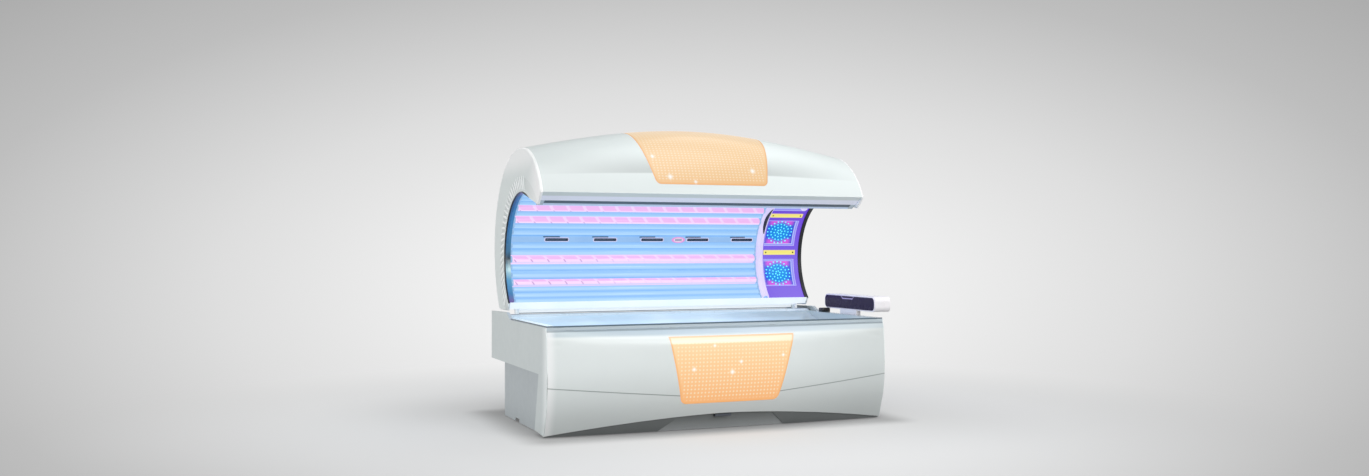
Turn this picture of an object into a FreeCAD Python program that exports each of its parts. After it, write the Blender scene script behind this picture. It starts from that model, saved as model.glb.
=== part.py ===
"""Clamshell tanning bed: a tub with a concave acrylic bench, and a canopy that closes over it.

Built about a working frame: X runs along the bed towards the head end, Y from the front cover
to the back, Z up from the floor, with X = 0 at the middle of the base and Y = 0 at the plane of
the front rim. The last step moves every piece so that the origin is on the floor under the middle
of the whole machine. Lengths are in millimetres and angles in degrees.
"""
import FreeCAD, Part

import math
import os

import Sketcher

App = FreeCAD
Vector = App.Vector

doc = App.newDocument("TanningBed")

# ---------------------------------------------------------------------------------------------
# Driving dimensions
# ---------------------------------------------------------------------------------------------

DIMENSIONS = (
    # Base as a whole
    ("base_length", 2300.0),
    ("tub_back", 1378.0),
    ("tub_underside", 372.0),
    ("rim_height", 641.0),
    ("cover_wall", 6.0),
    ("panel_wall", 4.0),
    ("fit_gap", 0.3),
    # Front cover
    ("cover_foot_height", 12.0),
    ("cover_arch_rise", 98.0),
    ("cover_bulge", 133.0),
    ("seam_end_height", 304.0),
    ("seam_middle_height", 232.0),
    ("window_gap", 0.6),
    ("front_light_top_width", 844.0),
    ("front_light_bottom_width", 650.0),
    ("front_light_drop", 47.0),
    ("front_light_bottom", 180.0),
    ("front_light_corner", 42.0),
    ("light_tray_depth", 16.0),
    ("light_tray_wall", 3.0),
    ("kick_set_back", 4.0),
    ("kick_floor_line", 94.0),
    ("kick_floor_bow", 32.0),
    ("kick_ground_gap", 5.0),
    ("recess_top_width", 596.0),
    ("recess_bottom_width", 878.0),
    ("recess_depth", 7.0),
    ("switch_length", 108.0),
    ("switch_height", 17.0),
    ("switch_depth", 16.0),
    ("switch_offset", -30.0),
    ("switch_travel", 5.0),
    # Side covers and tub panels
    ("side_depth", 45.0),
    ("side_fin", 21.0),
    ("shelf_rise", 42.0),
    ("shelf_slope", 95.0),
    ("shelf_lead", 35.0),
    ("side_back_edge", 195.0),
    ("side_foot_back", 281.0),
    ("pedestal_inset", 30.0),
    ("pedestal_back", 1130.0),
    ("pedestal_front", 222.0),
    ("pan_wall", 2.0),
    ("notch_middle", 800.0),
    ("notch_width", 90.0),
    ("notch_height", 22.0),
    # Steel frame of the base
    ("tube_side", 50.0),
    ("tube_wall", 3.0),
    ("rail_front", 250.0),
    ("rail_back", 1090.0),
    ("foot_clearance", 30.0),
    ("foot_radius", 28.0),
    ("foot_pad", 10.0),
    ("foot_stem_radius", 8.0),
    ("foot_inset", 160.0),
    ("beam_side", 40.0),
    ("beam_end_inset", 150.0),
    ("beam_inner_reach", 340.0),
    ("upright_depth", 20.0),
    # Bench
    ("bench_front", 40.0),
    ("bench_back", 1006.0),
    ("bench_rise", 27.0),
    ("bench_sag", 85.0),
    ("acrylic_thickness", 8.0),
    ("bench_end_inset", 46.0),
    ("bench_rim_margin", 4.0),
    ("profile_depth", 36.0),
    ("profile_wall", 3.0),
    ("profile_step", 2.0),
    ("bench_lamp_count", 12),
    ("bench_lamp_inset", 150.0),
    ("bench_lamp_step", 3.0),
    ("lamp_radius", 19.0),
    ("lamp_glass", 1.2),
    ("lamp_gap", 6.0),
    ("reflector_thickness", 1.5),
    ("socket_length", 20.0),
    ("deck_drop", 16.0),
    ("ledge_rise", 32.0),
    ("ledge_depth", 55.0),
    ("deck_end_inset", 122.0),
    # Electrical parts in the tub
    ("ballast_count", 8),
    ("ballast_length", 200.0),
    ("ballast_width", 60.0),
    ("ballast_height", 45.0),
    ("ballast_pitch", 250.0),
    ("gland_radius", 14.0),
    ("gland_length", 26.0),
    ("gland_bore", 8.0),
    ("fan_side", 240.0),
    ("fan_depth", 40.0),
    ("fan_bore", 110.0),
    ("fan_hub", 38.0),
    ("fan_tip_gap", 4.0),
    ("fan_spacing", 1100.0),
    ("fan_height", 201.0),
    ("fan_blades", 7),
    ("fan_blade_thickness", 3.0),
    ("fan_blade_pitch", 32.0),
    ("fan_blade_root", 4.0),
    ("fan_shaft_radius", 4.75),
    ("fan_wheel_depth", 24.0),
    ("fan_wheel_gap", 8.0),
    ("fan_spoke_depth", 6.0),
    ("fan_spoke_height", 11.4),
    ("fan_spoke_seat", 2.0),
    ("fan_screw_radius", 3.0),
    ("fan_screw_pitch", 210.0),
    ("grille_bar", 8.0),
    ("grille_pitch", 44.0),
    # Hinge and gas struts
    ("hinge_behind_bench", 94.0),
    ("hinge_rise", 88.0),
    ("hinge_plate", 12.0),
    ("hinge_end_inset", 114.0),
    ("hinge_boss", 21.0),
    ("bracket_shoulder", 3.0),
    ("hinge_pin_radius", 10.0),
    ("hinge_fit", 0.05),
    ("tail_length", 80.0),
    ("tail_angle", -100.0),
    ("strut_foot_inset", 38.0),
    ("strut_foot_drop", 77.0),
    ("strut_end_inset", 72.0),
    ("strut_tube_radius", 11.0),
    ("strut_tube_length", 165.0),
    ("strut_rod_radius", 5.0),
    ("strut_rod_buried", 60.0),
    ("strut_eye_radius", 15.0),
    ("strut_eye_width", 12.0),
    ("strut_open_eye_radius", 16.5),
    ("strut_pin_radius", 5.0),
    ("strut_fit", 0.05),
    ("strut_swing_clearance", 5.6),
    # Canopy shell, seen in section; its centres are measured from the hinge pin
    ("canopy_end_inset", 25.0),
    ("end_cap_depth", 14.0),
    ("end_cap_bevel", 8.0),
    ("end_cap_wall", 3.0),
    ("brow_centre_y", -413.0),
    ("brow_centre_z", 530.4),
    ("brow_radius", 496.4),
    ("brow_lip_angle", 156.5),
    ("brow_top_angle", 100.0),
    ("back_centre_y", -345.7),
    ("back_centre_z", 376.0),
    ("back_radius", 654.6),
    ("back_bottom_angle", -38.0),
    ("cover_seam_angle", 80.0),
    ("crown_rise", 142.0),
    ("strip_lead", 50.4),
    ("floor_lead", 27.3),
    ("floor_drop", 30.45),
    # Canopy interior
    ("cavity_y", -398.4),
    ("cavity_z", 313.0),
    ("cavity_radius", 431.7),
    ("cavity_bottom_angle", -42.4),
    ("cavity_top_angle", 91.0),
    ("rim_top_angle", 97.0),
    ("trim_top_angle", 128.0),
    ("brow_tip_y", -789.0),
    ("brow_tip_z", 655.0),
    ("lamp_row_radius", 454.0),
    ("lamp_start_inset", 47.0),
    ("facial_length", 292.0),
    ("reflector_end_angle", 131.0),
    ("rim_width", 24.0),
    ("rim_thickness", 12.0),
    ("socket_rail_depth", 32.0),
    ("divider_width", 52.0),
    ("divider_height", 32.0),
    ("facial_window_lead", 12.0),
    ("facial_window_tail", 38.0),
    ("facial_window_span", 26.0),
    ("facial_pitch", 39.4),
    ("facial_first", -14.6),
    ("facial_bar_lead", 9.0),
    ("facial_bar_tail", 26.0),
    ("facial_bar_span", 4.6),
    ("facial_recess", 14.0),
    ("nozzle_strip_angle", 17.2),
    ("nozzle_strip_span", 5.0),
    ("nozzle_count", 5),
    ("nozzle_lead", 316.0),
    ("nozzle_tail", 117.6),
    ("nozzle_length", 160.0),
    ("nozzle_radius", 11.0),
    ("nozzle_slot", 5.0),
    ("nozzle_fit", 0.5),
    ("mist_offset", 23.75),
    ("mist_half_length", 50.0),
    ("mist_half_height", 22.0),
    # Canopy front light and handle rail, measured from the hinge pin
    ("canopy_light_bottom_width", 772.0),
    ("canopy_light_top_width", 970.0),
    ("canopy_light_offset", 25.0),
    ("canopy_light_bottom", 792.0),
    ("canopy_light_corner", 40.0),
    ("canopy_light_back", -365.0),
    ("slot_y", -776.0),
    ("slot_z", 680.0),
    ("rail_y", -720.0),
    ("rail_z", 653.0),
    ("rail_wall", 10.0),
    ("rail_cap_length", 24.0),
    ("frame_rib_depth", 78.0),
    ("frame_rib_thickness", 4.0),
    ("frame_rib_reach", 380.0),
    ("frame_beam_radius", 16.0),
    ("frame_beam_wall", 3.0),
    # Head console
    ("console_end_gap", 6.0),
    ("console_front", 150.0),
    ("console_width", 684.0),
    ("console_bottom", 696.0),
    ("console_height", 102.0),
    ("console_depth", 122.0),
    ("console_corner", 34.0),
    ("console_face_thickness", 5.0),
    ("console_border", 5.0),
    ("console_neck_width", 220.0),
    ("console_neck_drop", 130.0),
    ("console_neck_depth", 34.0),
)

sheet = doc.addObject("Spreadsheet::Sheet", "Sizes")
for row, (alias, value) in enumerate(DIMENSIONS, start=1):
    sheet.set("A%d" % row, alias)
    sheet.set("B%d" % row, str(value))
    sheet.setAlias("B%d" % row, alias)
doc.recompute()


def size(alias):
    """A driving dimension, read back from the sheet."""
    return float(sheet.get(alias))


subparts = {}


def keep(node, thing):
    """Register a finished object as the sub-part with this name."""
    thing.Label = node
    subparts[node] = thing
    return thing


# ---------------------------------------------------------------------------------------------
# Helpers: bound primitives, sketched bodies and plain shapes
# ---------------------------------------------------------------------------------------------

def box(name, sizes, corner):
    """Box with its three sizes bound to the sheet, and its lowest corner at a point."""
    solid = doc.addObject("Part::Box", name)
    for prop, text in zip(("Length", "Width", "Height"), sizes):
        solid.setExpression(prop, text)
    solid.Placement.Base = Vector(*corner)
    return solid


def cylinder(name, radius, height, start, direction):
    """Cylinder with bound radius and height, from a start point along a direction."""
    solid = doc.addObject("Part::Cylinder", name)
    solid.setExpression("Radius", radius)
    solid.setExpression("Height", height)
    turn = App.Rotation(Vector(0, 0, 1), Vector(*direction))
    solid.Placement = App.Placement(Vector(*start), turn)
    return solid


def worked_out(value):
    """Length worked out from several sizes, as an expression."""
    return "%f" % value


def cut(name, base, tool):
    result = doc.addObject("Part::Cut", name)
    result.Base = base
    result.Tool = tool
    return result


def fuse(name, members):
    result = doc.addObject("Part::MultiFuse", name)
    result.Shapes = members
    return result


def group(name, members):
    """Several separate solids that are one sub-part."""
    result = doc.addObject("Part::Compound", name)
    result.Links = members
    return result


def feature(name, shape):
    """Plain shape as an object of the document."""
    thing = doc.addObject("Part::Feature", name)
    thing.Shape = shape
    return thing


def origin_plane(body, role):
    """One of a body's own origin planes."""
    return next(item for item in body.Origin.OriginFeatures if item.Role == role)


def sketch_outline(body, name, role, points):
    """Closed outline of straight lines, each corner held by two named constraints."""
    sketch = body.newObject("Sketcher::SketchObject", name)
    sketch.AttachmentSupport = [(origin_plane(body, role), "")]
    sketch.MapMode = "FlatFace"
    count = len(points)
    for index in range(count):
        start = Vector(*points[index], 0)
        end = Vector(*points[(index + 1) % count], 0)
        sketch.addGeometry(Part.LineSegment(start, end), False)
    for index in range(count):
        sketch.addConstraint(Sketcher.Constraint("Coincident", index, 2, (index + 1) % count, 1))
    for index, (across, up) in enumerate(points):
        for kind, value in (("DistanceX", across), ("DistanceY", up)):
            sketch.addConstraint(Sketcher.Constraint(kind, -1, 1, index, 1, value))
    return sketch


def plate_body(name, points, thickness, start):
    """Plate with an outline in the YZ plane, padded along X by a bound thickness."""
    body = doc.addObject("PartDesign::Body", name)
    sketch = sketch_outline(body, name + "_outline", "YZ_Plane", points)
    pad = body.newObject("PartDesign::Pad", name + "_pad")
    pad.Profile = sketch
    pad.setExpression("Length", thickness)
    body.Placement.Base = Vector(start, 0, 0)
    return body


def inset(points, distance):
    """Corner points of a closed outline moved inwards by a distance (counter-clockwise outline)."""
    moved = []
    count = len(points)
    for index in range(count):
        before, here, after = points[index - 1], points[index], points[(index + 1) % count]
        first = Vector(here[0] - before[0], here[1] - before[1], 0).normalize()
        second = Vector(after[0] - here[0], after[1] - here[1], 0).normalize()
        normal_sum = Vector(-first.y - second.y, first.x + second.x, 0)
        reach = distance / (1 + first.dot(second))
        moved.append((here[0] + normal_sum.x * reach, here[1] + normal_sum.y * reach))
    return moved


def spline_edge(points):
    curve = Part.BSplineCurve()
    curve.interpolate(points)
    return curve.toShape()


def band_wire(outer, inner):
    """Closed wire between an outer and an inner run of points."""
    edges = [
        spline_edge(outer),
        Part.makeLine(outer[-1], inner[-1]),
        spline_edge(inner[::-1]),
        Part.makeLine(inner[0], outer[0]),
    ]
    return Part.Wire(edges)


def polygon_prism(points, direction):
    """Solid between a flat closed outline and its copy moved by a direction."""
    wire = Part.makePolygon(list(points) + [points[0]])
    return Part.Face(wire).extrude(Vector(*direction))


def arc_points(centre, radius, first, last, count):
    """Points on an arc in the YZ plane, as (y, z) pairs."""
    pairs = []
    for index in range(count):
        angle = math.radians(first + (last - first) * index / (count - 1))
        pairs.append((centre[0] + radius * math.cos(angle), centre[1] + radius * math.sin(angle)))
    return pairs


def smooth(share):
    share = min(max(share, 0.0), 1.0)
    return share * share * (3 - 2 * share)


def interpolate(table, at):
    """Straight interpolation in a short table of (position, value) pairs."""
    for (low, first), (high, second) in zip(table, table[1:]):
        if at <= high:
            return first + (second - first) * max(at - low, 0.0) / (high - low)
    return table[-1][1]


HALF = size("base_length") / 2
GAP = size("fit_gap")
WALL = size("cover_wall")
SIDES = (("left", -1), ("right", 1))

# ---------------------------------------------------------------------------------------------
# Front cover of the base: a shell that bulges towards the middle and arches up at the foot
# ---------------------------------------------------------------------------------------------

RIM = size("rim_height")
BENCH_TOP = RIM + size("bench_rise")
DECK = BENCH_TOP - size("deck_drop")
# Height of each section point, how far back it lies at the ends, and its share of the bulge.
FRONT_PROFILE = (
    (0.0, 90.0, 0.44),
    (89.0, 58.0, 0.52),
    (191.0, 27.0, 0.64),
    (324.0, 10.0, 0.79),
    (RIM - 218.0, 12.0, 0.90),
    (RIM - 120.0, 19.0, 0.985),
    (RIM - 81.0, 21.5, 0.995),
    (RIM - 53.0, 24.0, 0.93),
    (RIM - 31.0, 27.0, 0.70),
    (RIM - 13.0, 31.0, 0.36),
    (RIM, 36.0, 0.0),
)


def fullness(x):
    """Share of the bulge at a place along the bed: one in the middle, none at the ends."""
    return 1 - (abs(x) / HALF) ** 2.2


def arch(x):
    """Height of the front cover's lower edge."""
    return size("cover_foot_height") + size("cover_arch_rise") * (1 - (abs(x) / HALF) ** 1.7)


def front_run(x, depth):
    """Front section at x, moved back into the cover by a depth."""
    flat = [(back - share * size("cover_bulge") * fullness(x), z) for z, back, share in FRONT_PROFILE]
    run = []
    for index, (y, z) in enumerate(flat):
        before = flat[max(index - 1, 0)]
        after = flat[min(index + 1, len(flat) - 1)]
        slope = Vector(after[0] - before[0], after[1] - before[1], 0).normalize()
        run.append(Vector(x, y + slope.y * depth, z - slope.x * depth))
    return run


def front_band(shallow, deep, half_length):
    """Curved solid that follows the front cover between two depths."""
    stations = [half_length * step / 6 for step in range(-6, 7)]
    wires = [band_wire(front_run(x, shallow), front_run(x, deep)) for x in stations]
    return Part.makeLoft(wires, True, False)


def front_light_outline(margin):
    """Trapezoid of the lower light panel with rounded lower corners, as a prism along Y."""
    half_top = size("front_light_top_width") / 2 + margin
    half_bottom = size("front_light_bottom_width") / 2 + margin
    top = RIM - size("front_light_drop") + margin
    bottom = size("front_light_bottom") - margin
    corners = [
        Vector(-half_top, -FAR, top),
        Vector(-half_bottom, -FAR, bottom),
        Vector(half_bottom, -FAR, bottom),
        Vector(half_top, -FAR, top),
    ]
    prism = polygon_prism(corners, (0, 2 * FAR, 0))
    lower = [edge for edge in prism.Edges
             if edge.BoundBox.YLength > FAR and edge.BoundBox.ZMax < (top + bottom) / 2]
    return prism.makeFillet(size("front_light_corner"), lower)


FAR = 400.0
cover_half = HALF - size("panel_wall") - GAP
full_cover = front_band(0.0, WALL, cover_half)
floor_run = [Vector(x, -FAR, arch(x)) for x in [HALF * step / 8 for step in range(-8, 9)]]
below_arch = Part.Face(Part.Wire([
    spline_edge(floor_run),
    Part.makeLine(floor_run[-1], Vector(HALF, -FAR, -FAR)),
    Part.makeLine(Vector(HALF, -FAR, -FAR), Vector(-HALF, -FAR, -FAR)),
    Part.makeLine(Vector(-HALF, -FAR, -FAR), floor_run[0]),
])).extrude(Vector(0, 2 * FAR, 0))
light_window = front_light_outline(size("window_gap"))
shell = full_cover.cut(below_arch).cut(light_window)
seam_low = size("seam_middle_height")
seam_high = size("seam_end_height")


def seam_prism(shift):
    """Everything above the joint line between the two front covers."""
    corners = [
        Vector(-HALF, -FAR, seam_high + shift),
        Vector(-size("front_light_bottom_width") / 2, -FAR, seam_low + shift),
        Vector(size("front_light_bottom_width") / 2, -FAR, seam_low + shift),
        Vector(HALF, -FAR, seam_high + shift),
        Vector(HALF, -FAR, RIM + FAR),
        Vector(-HALF, -FAR, RIM + FAR),
    ]
    return polygon_prism(corners, (0, 2 * FAR, 0))


keep("front_cover_upper", feature("FrontCoverUpper", shell.common(seam_prism(GAP))))
keep("front_cover_lower", feature("FrontCoverLower", shell.cut(seam_prism(-GAP))))
light_panel = front_band(0.0, WALL, cover_half).common(front_light_outline(0.0))
keep("front_light_panel", feature("FrontLightPanel", light_panel))

tray_depth = size("light_tray_depth")
tray_wall = size("light_tray_wall")
tray_block = front_band(WALL + GAP, WALL + GAP + tray_depth, cover_half)
tray_well = front_band(WALL, WALL + GAP + tray_depth - tray_wall, cover_half)
tray = tray_block.common(front_light_outline(4 * tray_wall))
tray = tray.cut(tray_well.common(front_light_outline(3 * tray_wall)))
keep("front_light_board", feature("FrontLightBoard", tray))


# Kick plate: leans back from behind the cover's lower edge to the floor line.
def kick_wire(x, set_back, thickness):
    bow = size("kick_floor_bow") * fullness(x)
    top_z = arch(x) + 4 * size("kick_set_back")
    top_y = interpolate([(z, back - share * size("cover_bulge") * fullness(x))
                         for z, back, share in FRONT_PROFILE], top_z)
    top_y += WALL + size("kick_set_back") + set_back
    low_y = size("kick_floor_line") - bow + size("kick_set_back") + set_back
    low_z = size("kick_ground_gap")
    corners = [
        Vector(x, low_y, low_z),
        Vector(x, top_y, top_z),
        Vector(x, top_y + thickness, top_z),
        Vector(x, low_y + thickness, low_z),
    ]
    return Part.makePolygon(corners + [corners[0]])


def kick_band(set_back, thickness):
    reach = cover_half - GAP
    stations = [reach * step / 6 for step in range(-6, 7)]
    wires = [kick_wire(x, set_back, thickness) for x in stations]
    return Part.makeLoft(wires, True, False)


def recess_prism(margin):
    """Trapezoid of the foot recess, wider at the floor."""
    half_top = size("recess_top_width") / 2 + margin
    half_bottom = size("recess_bottom_width") / 2 + margin
    corners = [
        Vector(-half_bottom, -FAR, 0),
        Vector(half_bottom, -FAR, 0),
        Vector(half_top, -FAR, arch(0)),
        Vector(half_top, -FAR, arch(0) + FAR),
        Vector(-half_top, -FAR, arch(0) + FAR),
        Vector(-half_top, -FAR, arch(0)),
    ]
    return polygon_prism(corners, (0, 2 * FAR, 0))


kick_wall = size("panel_wall")
recess_depth = size("recess_depth")
kick_sides = kick_band(0.0, kick_wall).cut(recess_prism(0.0))
kick_recess = kick_band(recess_depth, kick_wall).common(recess_prism(kick_wall))
kick_returns = kick_band(0.0, recess_depth + kick_wall).common(recess_prism(kick_wall))
kick_returns = kick_returns.cut(recess_prism(0.0))
kick_solid = kick_sides.multiFuse([kick_recess, kick_returns])
switch_middle = size("switch_offset")
switch_top = arch(switch_middle) - size("switch_travel")
switch_low = switch_top - size("switch_height")
switch_face = interpolate([(z, back - share * size("cover_bulge") * fullness(switch_middle))
                           for z, back, share in FRONT_PROFILE], arch(switch_middle)) + WALL


def switch_block(margin, start, depth):
    return Part.makeBox(
        size("switch_length") + 2 * margin, depth, size("switch_height") + 2 * margin,
        Vector(switch_middle - size("switch_length") / 2 - margin, start, switch_low - margin))


switch_hole = switch_block(GAP, switch_face - FAR / 4, FAR)
keep("kick_plate", feature("KickPlate", kick_solid.cut(switch_hole)))
switch_back = switch_face + size("switch_depth") + recess_depth
switch_shape = switch_block(0.0, switch_face, switch_back - switch_face)
keep("foot_switch", feature("FootSwitch", switch_shape))

# ---------------------------------------------------------------------------------------------
# Side covers, tub panels and pedestal
# ---------------------------------------------------------------------------------------------

SIDE_DEPTH = size("side_depth")
PANEL = size("panel_wall")
TUB_FLOOR = size("tub_underside")
TUB_BACK = size("tub_back")
SIDE_TOP = BENCH_TOP - size("acrylic_thickness") - GAP
SHELF_TOP = SIDE_TOP + size("shelf_rise")
SHELF_FRONT = size("bench_back") - size("shelf_lead")
SLOPE_FRONT = SHELF_FRONT - size("shelf_slope")
PROFILE_FACE = FRONT_PROFILE[-1][1] + size("profile_step")
SIDE_OUTLINE = [
    (FRONT_PROFILE[0][1] - PANEL, size("cover_foot_height")),
    (size("side_foot_back"), 2 * size("cover_foot_height")),
    (size("side_back_edge"), TUB_FLOOR),
    (TUB_BACK, TUB_FLOOR),
    (TUB_BACK, SHELF_TOP - 2 * PANEL),
    (SHELF_FRONT, SHELF_TOP),
    (SLOPE_FRONT, SIDE_TOP),
    (PROFILE_FACE, SIDE_TOP),
]
for front_z, front_back, _ in FRONT_PROFILE[-1:0:-2]:
    SIDE_OUTLINE.append((front_back, front_z))

# Room behind the side's outer plate for the front cover, the kick plate and the bench profile.
tuck = WALL + size("kick_set_back") + PANEL + 4 * GAP
TUCK_OUTLINE = [(-FAR, 0.0)]
TUCK_OUTLINE += [(back + tuck, z) for z, back, _ in FRONT_PROFILE[:-1]]
TUCK_OUTLINE += [
    (PROFILE_FACE + tuck, RIM + GAP),
    (PROFILE_FACE + size("profile_wall") + GAP, RIM + GAP),
    (PROFILE_FACE + size("profile_wall") + GAP, SHELF_TOP),
    (-FAR, SHELF_TOP),
]
leg_depth = size("pedestal_inset") - GAP

for side, sign in SIDES:
    outer_start = -HALF if sign < 0 else HALF - SIDE_DEPTH
    well_start = outer_start + (PANEL if sign < 0 else -PANEL)
    block = plate_body("SideBlock_" + side, SIDE_OUTLINE, "Sizes.side_depth", outer_start)
    well = plate_body("SideWell_" + side, inset(SIDE_OUTLINE, PANEL), "Sizes.side_depth", well_start)
    hollow = cut("SideShell_" + side, block, well)
    bay_x = -HALF + size("side_fin") if sign < 0 else HALF - size("side_fin")
    bay = box("SideBay_" + side,
              ("Sizes.side_depth", "Sizes.tub_back", "4 * Sizes.shelf_rise"),
              (bay_x if sign < 0 else bay_x - SIDE_DEPTH, SLOPE_FRONT - PANEL,
               DECK + PANEL))
    tuck_start = outer_start + (PANEL if sign < 0 else -PANEL)
    front_room = plate_body("SideTuck_" + side, TUCK_OUTLINE, "Sizes.side_depth", tuck_start)
    leg_room = box("SideLegRoom_" + side,
                   ("Sizes.side_depth", "Sizes.pedestal_back",
                    "Sizes.tub_underside - Sizes.fit_gap"),
                   (leg_depth - HALF if sign < 0 else HALF - leg_depth - SIDE_DEPTH,
                    size("pedestal_front") - GAP, 0))
    rooms = fuse("SideRooms_" + side, [bay, front_room, leg_room])
    keep("side_cover_" + side, cut("SideCover_" + side, hollow, rooms))

between_sides = HALF - SIDE_DEPTH - GAP
WIDTH_BETWEEN = "Sizes.base_length - 2 * Sizes.side_depth - 2 * Sizes.fit_gap"
back_panel = box("RearCoverPanel",
                 (WIDTH_BETWEEN, "Sizes.panel_wall",
                  "Sizes.rim_height + Sizes.bench_rise - Sizes.deck_drop - Sizes.tub_underside"),
                 (-between_sides, TUB_BACK - PANEL, TUB_FLOOR))
keep("rear_cover", group("RearCover", [back_panel]))

pan_front = size("rail_front")
pan = box("PanPlate",
          (WIDTH_BETWEEN, "Sizes.tub_back - Sizes.panel_wall - Sizes.fit_gap - Sizes.rail_front",
           "Sizes.pan_wall"),
          (-between_sides, pan_front, TUB_FLOOR + GAP))
keep("floor_pan", group("FloorPan", [pan]))
PAN_TOP = TUB_FLOOR + GAP + size("pan_wall")

# Pedestal: side panels with a small foot notch, and a rear panel with fan openings.
pedestal_half = HALF - size("pedestal_inset")
ground = size("kick_ground_gap")
for side, sign in SIDES:
    start_x = -pedestal_half if sign < 0 else pedestal_half - PANEL
    panel = box("PedestalPanel_" + side,
                ("Sizes.panel_wall", "Sizes.pedestal_back - Sizes.pedestal_front",
                 "Sizes.tub_underside - Sizes.fit_gap - Sizes.kick_ground_gap"),
                (start_x, size("pedestal_front"), ground))
    notch = box("PedestalNotch_" + side,
                ("3 * Sizes.panel_wall", "Sizes.notch_width", "2 * Sizes.notch_height"),
                (start_x - PANEL, size("notch_middle") - size("notch_width") / 2,
                 ground - size("notch_height")))
    keep("pedestal_side_" + side, cut("PedestalSide_" + side, panel, notch))

inner_half = pedestal_half - PANEL - GAP
rear_plate = box("PedestalRearPlate",
                 ("Sizes.base_length - 2 * Sizes.pedestal_inset - 2 * Sizes.panel_wall"
                  " - 2 * Sizes.fit_gap", "Sizes.panel_wall",
                  "Sizes.tub_underside - Sizes.fit_gap - Sizes.kick_ground_gap"),
                 (-inner_half, size("pedestal_back") - PANEL, ground))
fan_y = size("pedestal_back") - PANEL
FAN_PLACES = [(side, sign * size("fan_spacing") / 2) for side, sign in SIDES]
fan_holes = []
for side, fan_x in FAN_PLACES:
    opening = cylinder("FanOpening_" + side, "Sizes.fan_bore", "3 * Sizes.panel_wall",
                       (fan_x, fan_y - PANEL, size("fan_height")), (0, 1, 0))
    bars = [box("GrilleBar_%s_%d" % (side, step),
                ("2 * Sizes.fan_bore + 2 * Sizes.grille_bar", "3 * Sizes.panel_wall", "Sizes.grille_bar"),
                (fan_x - size("fan_bore") - size("grille_bar"), fan_y - PANEL,
                 size("fan_height") + step * size("grille_pitch") - size("grille_bar") / 2))
            for step in (-2, -1, 0, 1, 2)]
    fan_holes.append(cut("FanOpenings_" + side, opening, fuse("GrilleBars_" + side, bars)))
gland_hole = cylinder("GlandHole", "Sizes.gland_radius", "3 * Sizes.panel_wall",
                      (0, fan_y - PANEL, size("fan_height")), (0, 1, 0))
openings = fuse("RearOpenings", fan_holes + [gland_hole])
keep("pedestal_rear_panel", cut("PedestalRear", rear_plate, openings))

gland_body = cylinder("GlandBody", "Sizes.gland_radius - Sizes.fit_gap / 2", "Sizes.gland_length",
                      (0, fan_y - PANEL, size("fan_height")), (0, 1, 0))
gland_nut = cylinder("GlandNut", "Sizes.gland_radius * 1.5", "Sizes.panel_wall * 2",
                     (0, fan_y + PANEL + GAP, size("fan_height")), (0, 1, 0))
gland_bore = cylinder("GlandBore", "Sizes.gland_bore", "3 * Sizes.gland_length",
                      (0, fan_y - size("gland_length"), size("fan_height")), (0, 1, 0))
keep("mains_gland", cut("MainsGland", fuse("GlandSolid", [gland_body, gland_nut]), gland_bore))

# ---------------------------------------------------------------------------------------------
# Steel frame, feet
# ---------------------------------------------------------------------------------------------

TUBE = size("tube_side")
BEAM = size("beam_side")
LOW = size("foot_clearance")
frame_half = inner_half - GAP
top_rail_z = TUB_FLOOR - TUBE
frame_members = []


def glass_tube(name, length, start):
    """Lamp along X: thin glass, open where the sockets close its ends."""
    outside = cylinder(name + "_outside", "Sizes.lamp_radius", length, start, (1, 0, 0))
    inside = cylinder(name + "_inside", "Sizes.lamp_radius - Sizes.lamp_glass", length, start,
                      (1, 0, 0))
    return cut(name, outside, inside)


def square_tube(name, sizes, corner, axis):
    """Hollow rectangular tube: three bound outer sizes, open along one axis."""
    outer = box(name + "_outer", sizes, corner)
    inner_sizes = [text if index == axis else text + " - 2 * Sizes.tube_wall"
                   for index, text in enumerate(sizes)]
    inner_corner = [place if index == axis else place + size("tube_wall")
                    for index, place in enumerate(corner)]
    return cut(name, outer, box(name + "_bore", inner_sizes, inner_corner))


RAIL_LENGTH = ("Sizes.base_length - 2 * Sizes.pedestal_inset - 2 * Sizes.panel_wall"
               " - 4 * Sizes.fit_gap")
ACROSS = "Sizes.rail_back - Sizes.rail_front - Sizes.tube_side"
for level, rail_z in (("low", LOW), ("high", top_rail_z)):
    for place, middle in (("front", size("rail_front")), ("back", size("rail_back"))):
        frame_members.append(square_tube("Rail_%s_%s" % (level, place),
                                         (RAIL_LENGTH, "Sizes.tube_side", "Sizes.tube_side"),
                                         (-frame_half, middle - TUBE / 2, rail_z), 0))
    for number, cross_x in enumerate((-frame_half, -TUBE / 2, frame_half - TUBE)):
        frame_members.append(square_tube("Cross_%s_%d" % (level, number),
                                         ("Sizes.tube_side", ACROSS, "Sizes.tube_side"),
                                         (cross_x, size("rail_front") + TUBE / 2, rail_z), 1))
POST_HEIGHT = "Sizes.tub_underside - 2 * Sizes.tube_side - Sizes.foot_clearance"
for place, middle in (("front", size("rail_front")), ("back", size("rail_back"))):
    for number, post_x in enumerate((-frame_half, -TUBE / 2, frame_half - TUBE)):
        frame_members.append(square_tube("Post_%s_%d" % (place, number),
                                         ("Sizes.tube_side", "Sizes.tube_side", POST_HEIGHT),
                                         (post_x, middle - TUBE / 2, LOW + TUBE), 2))

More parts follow.
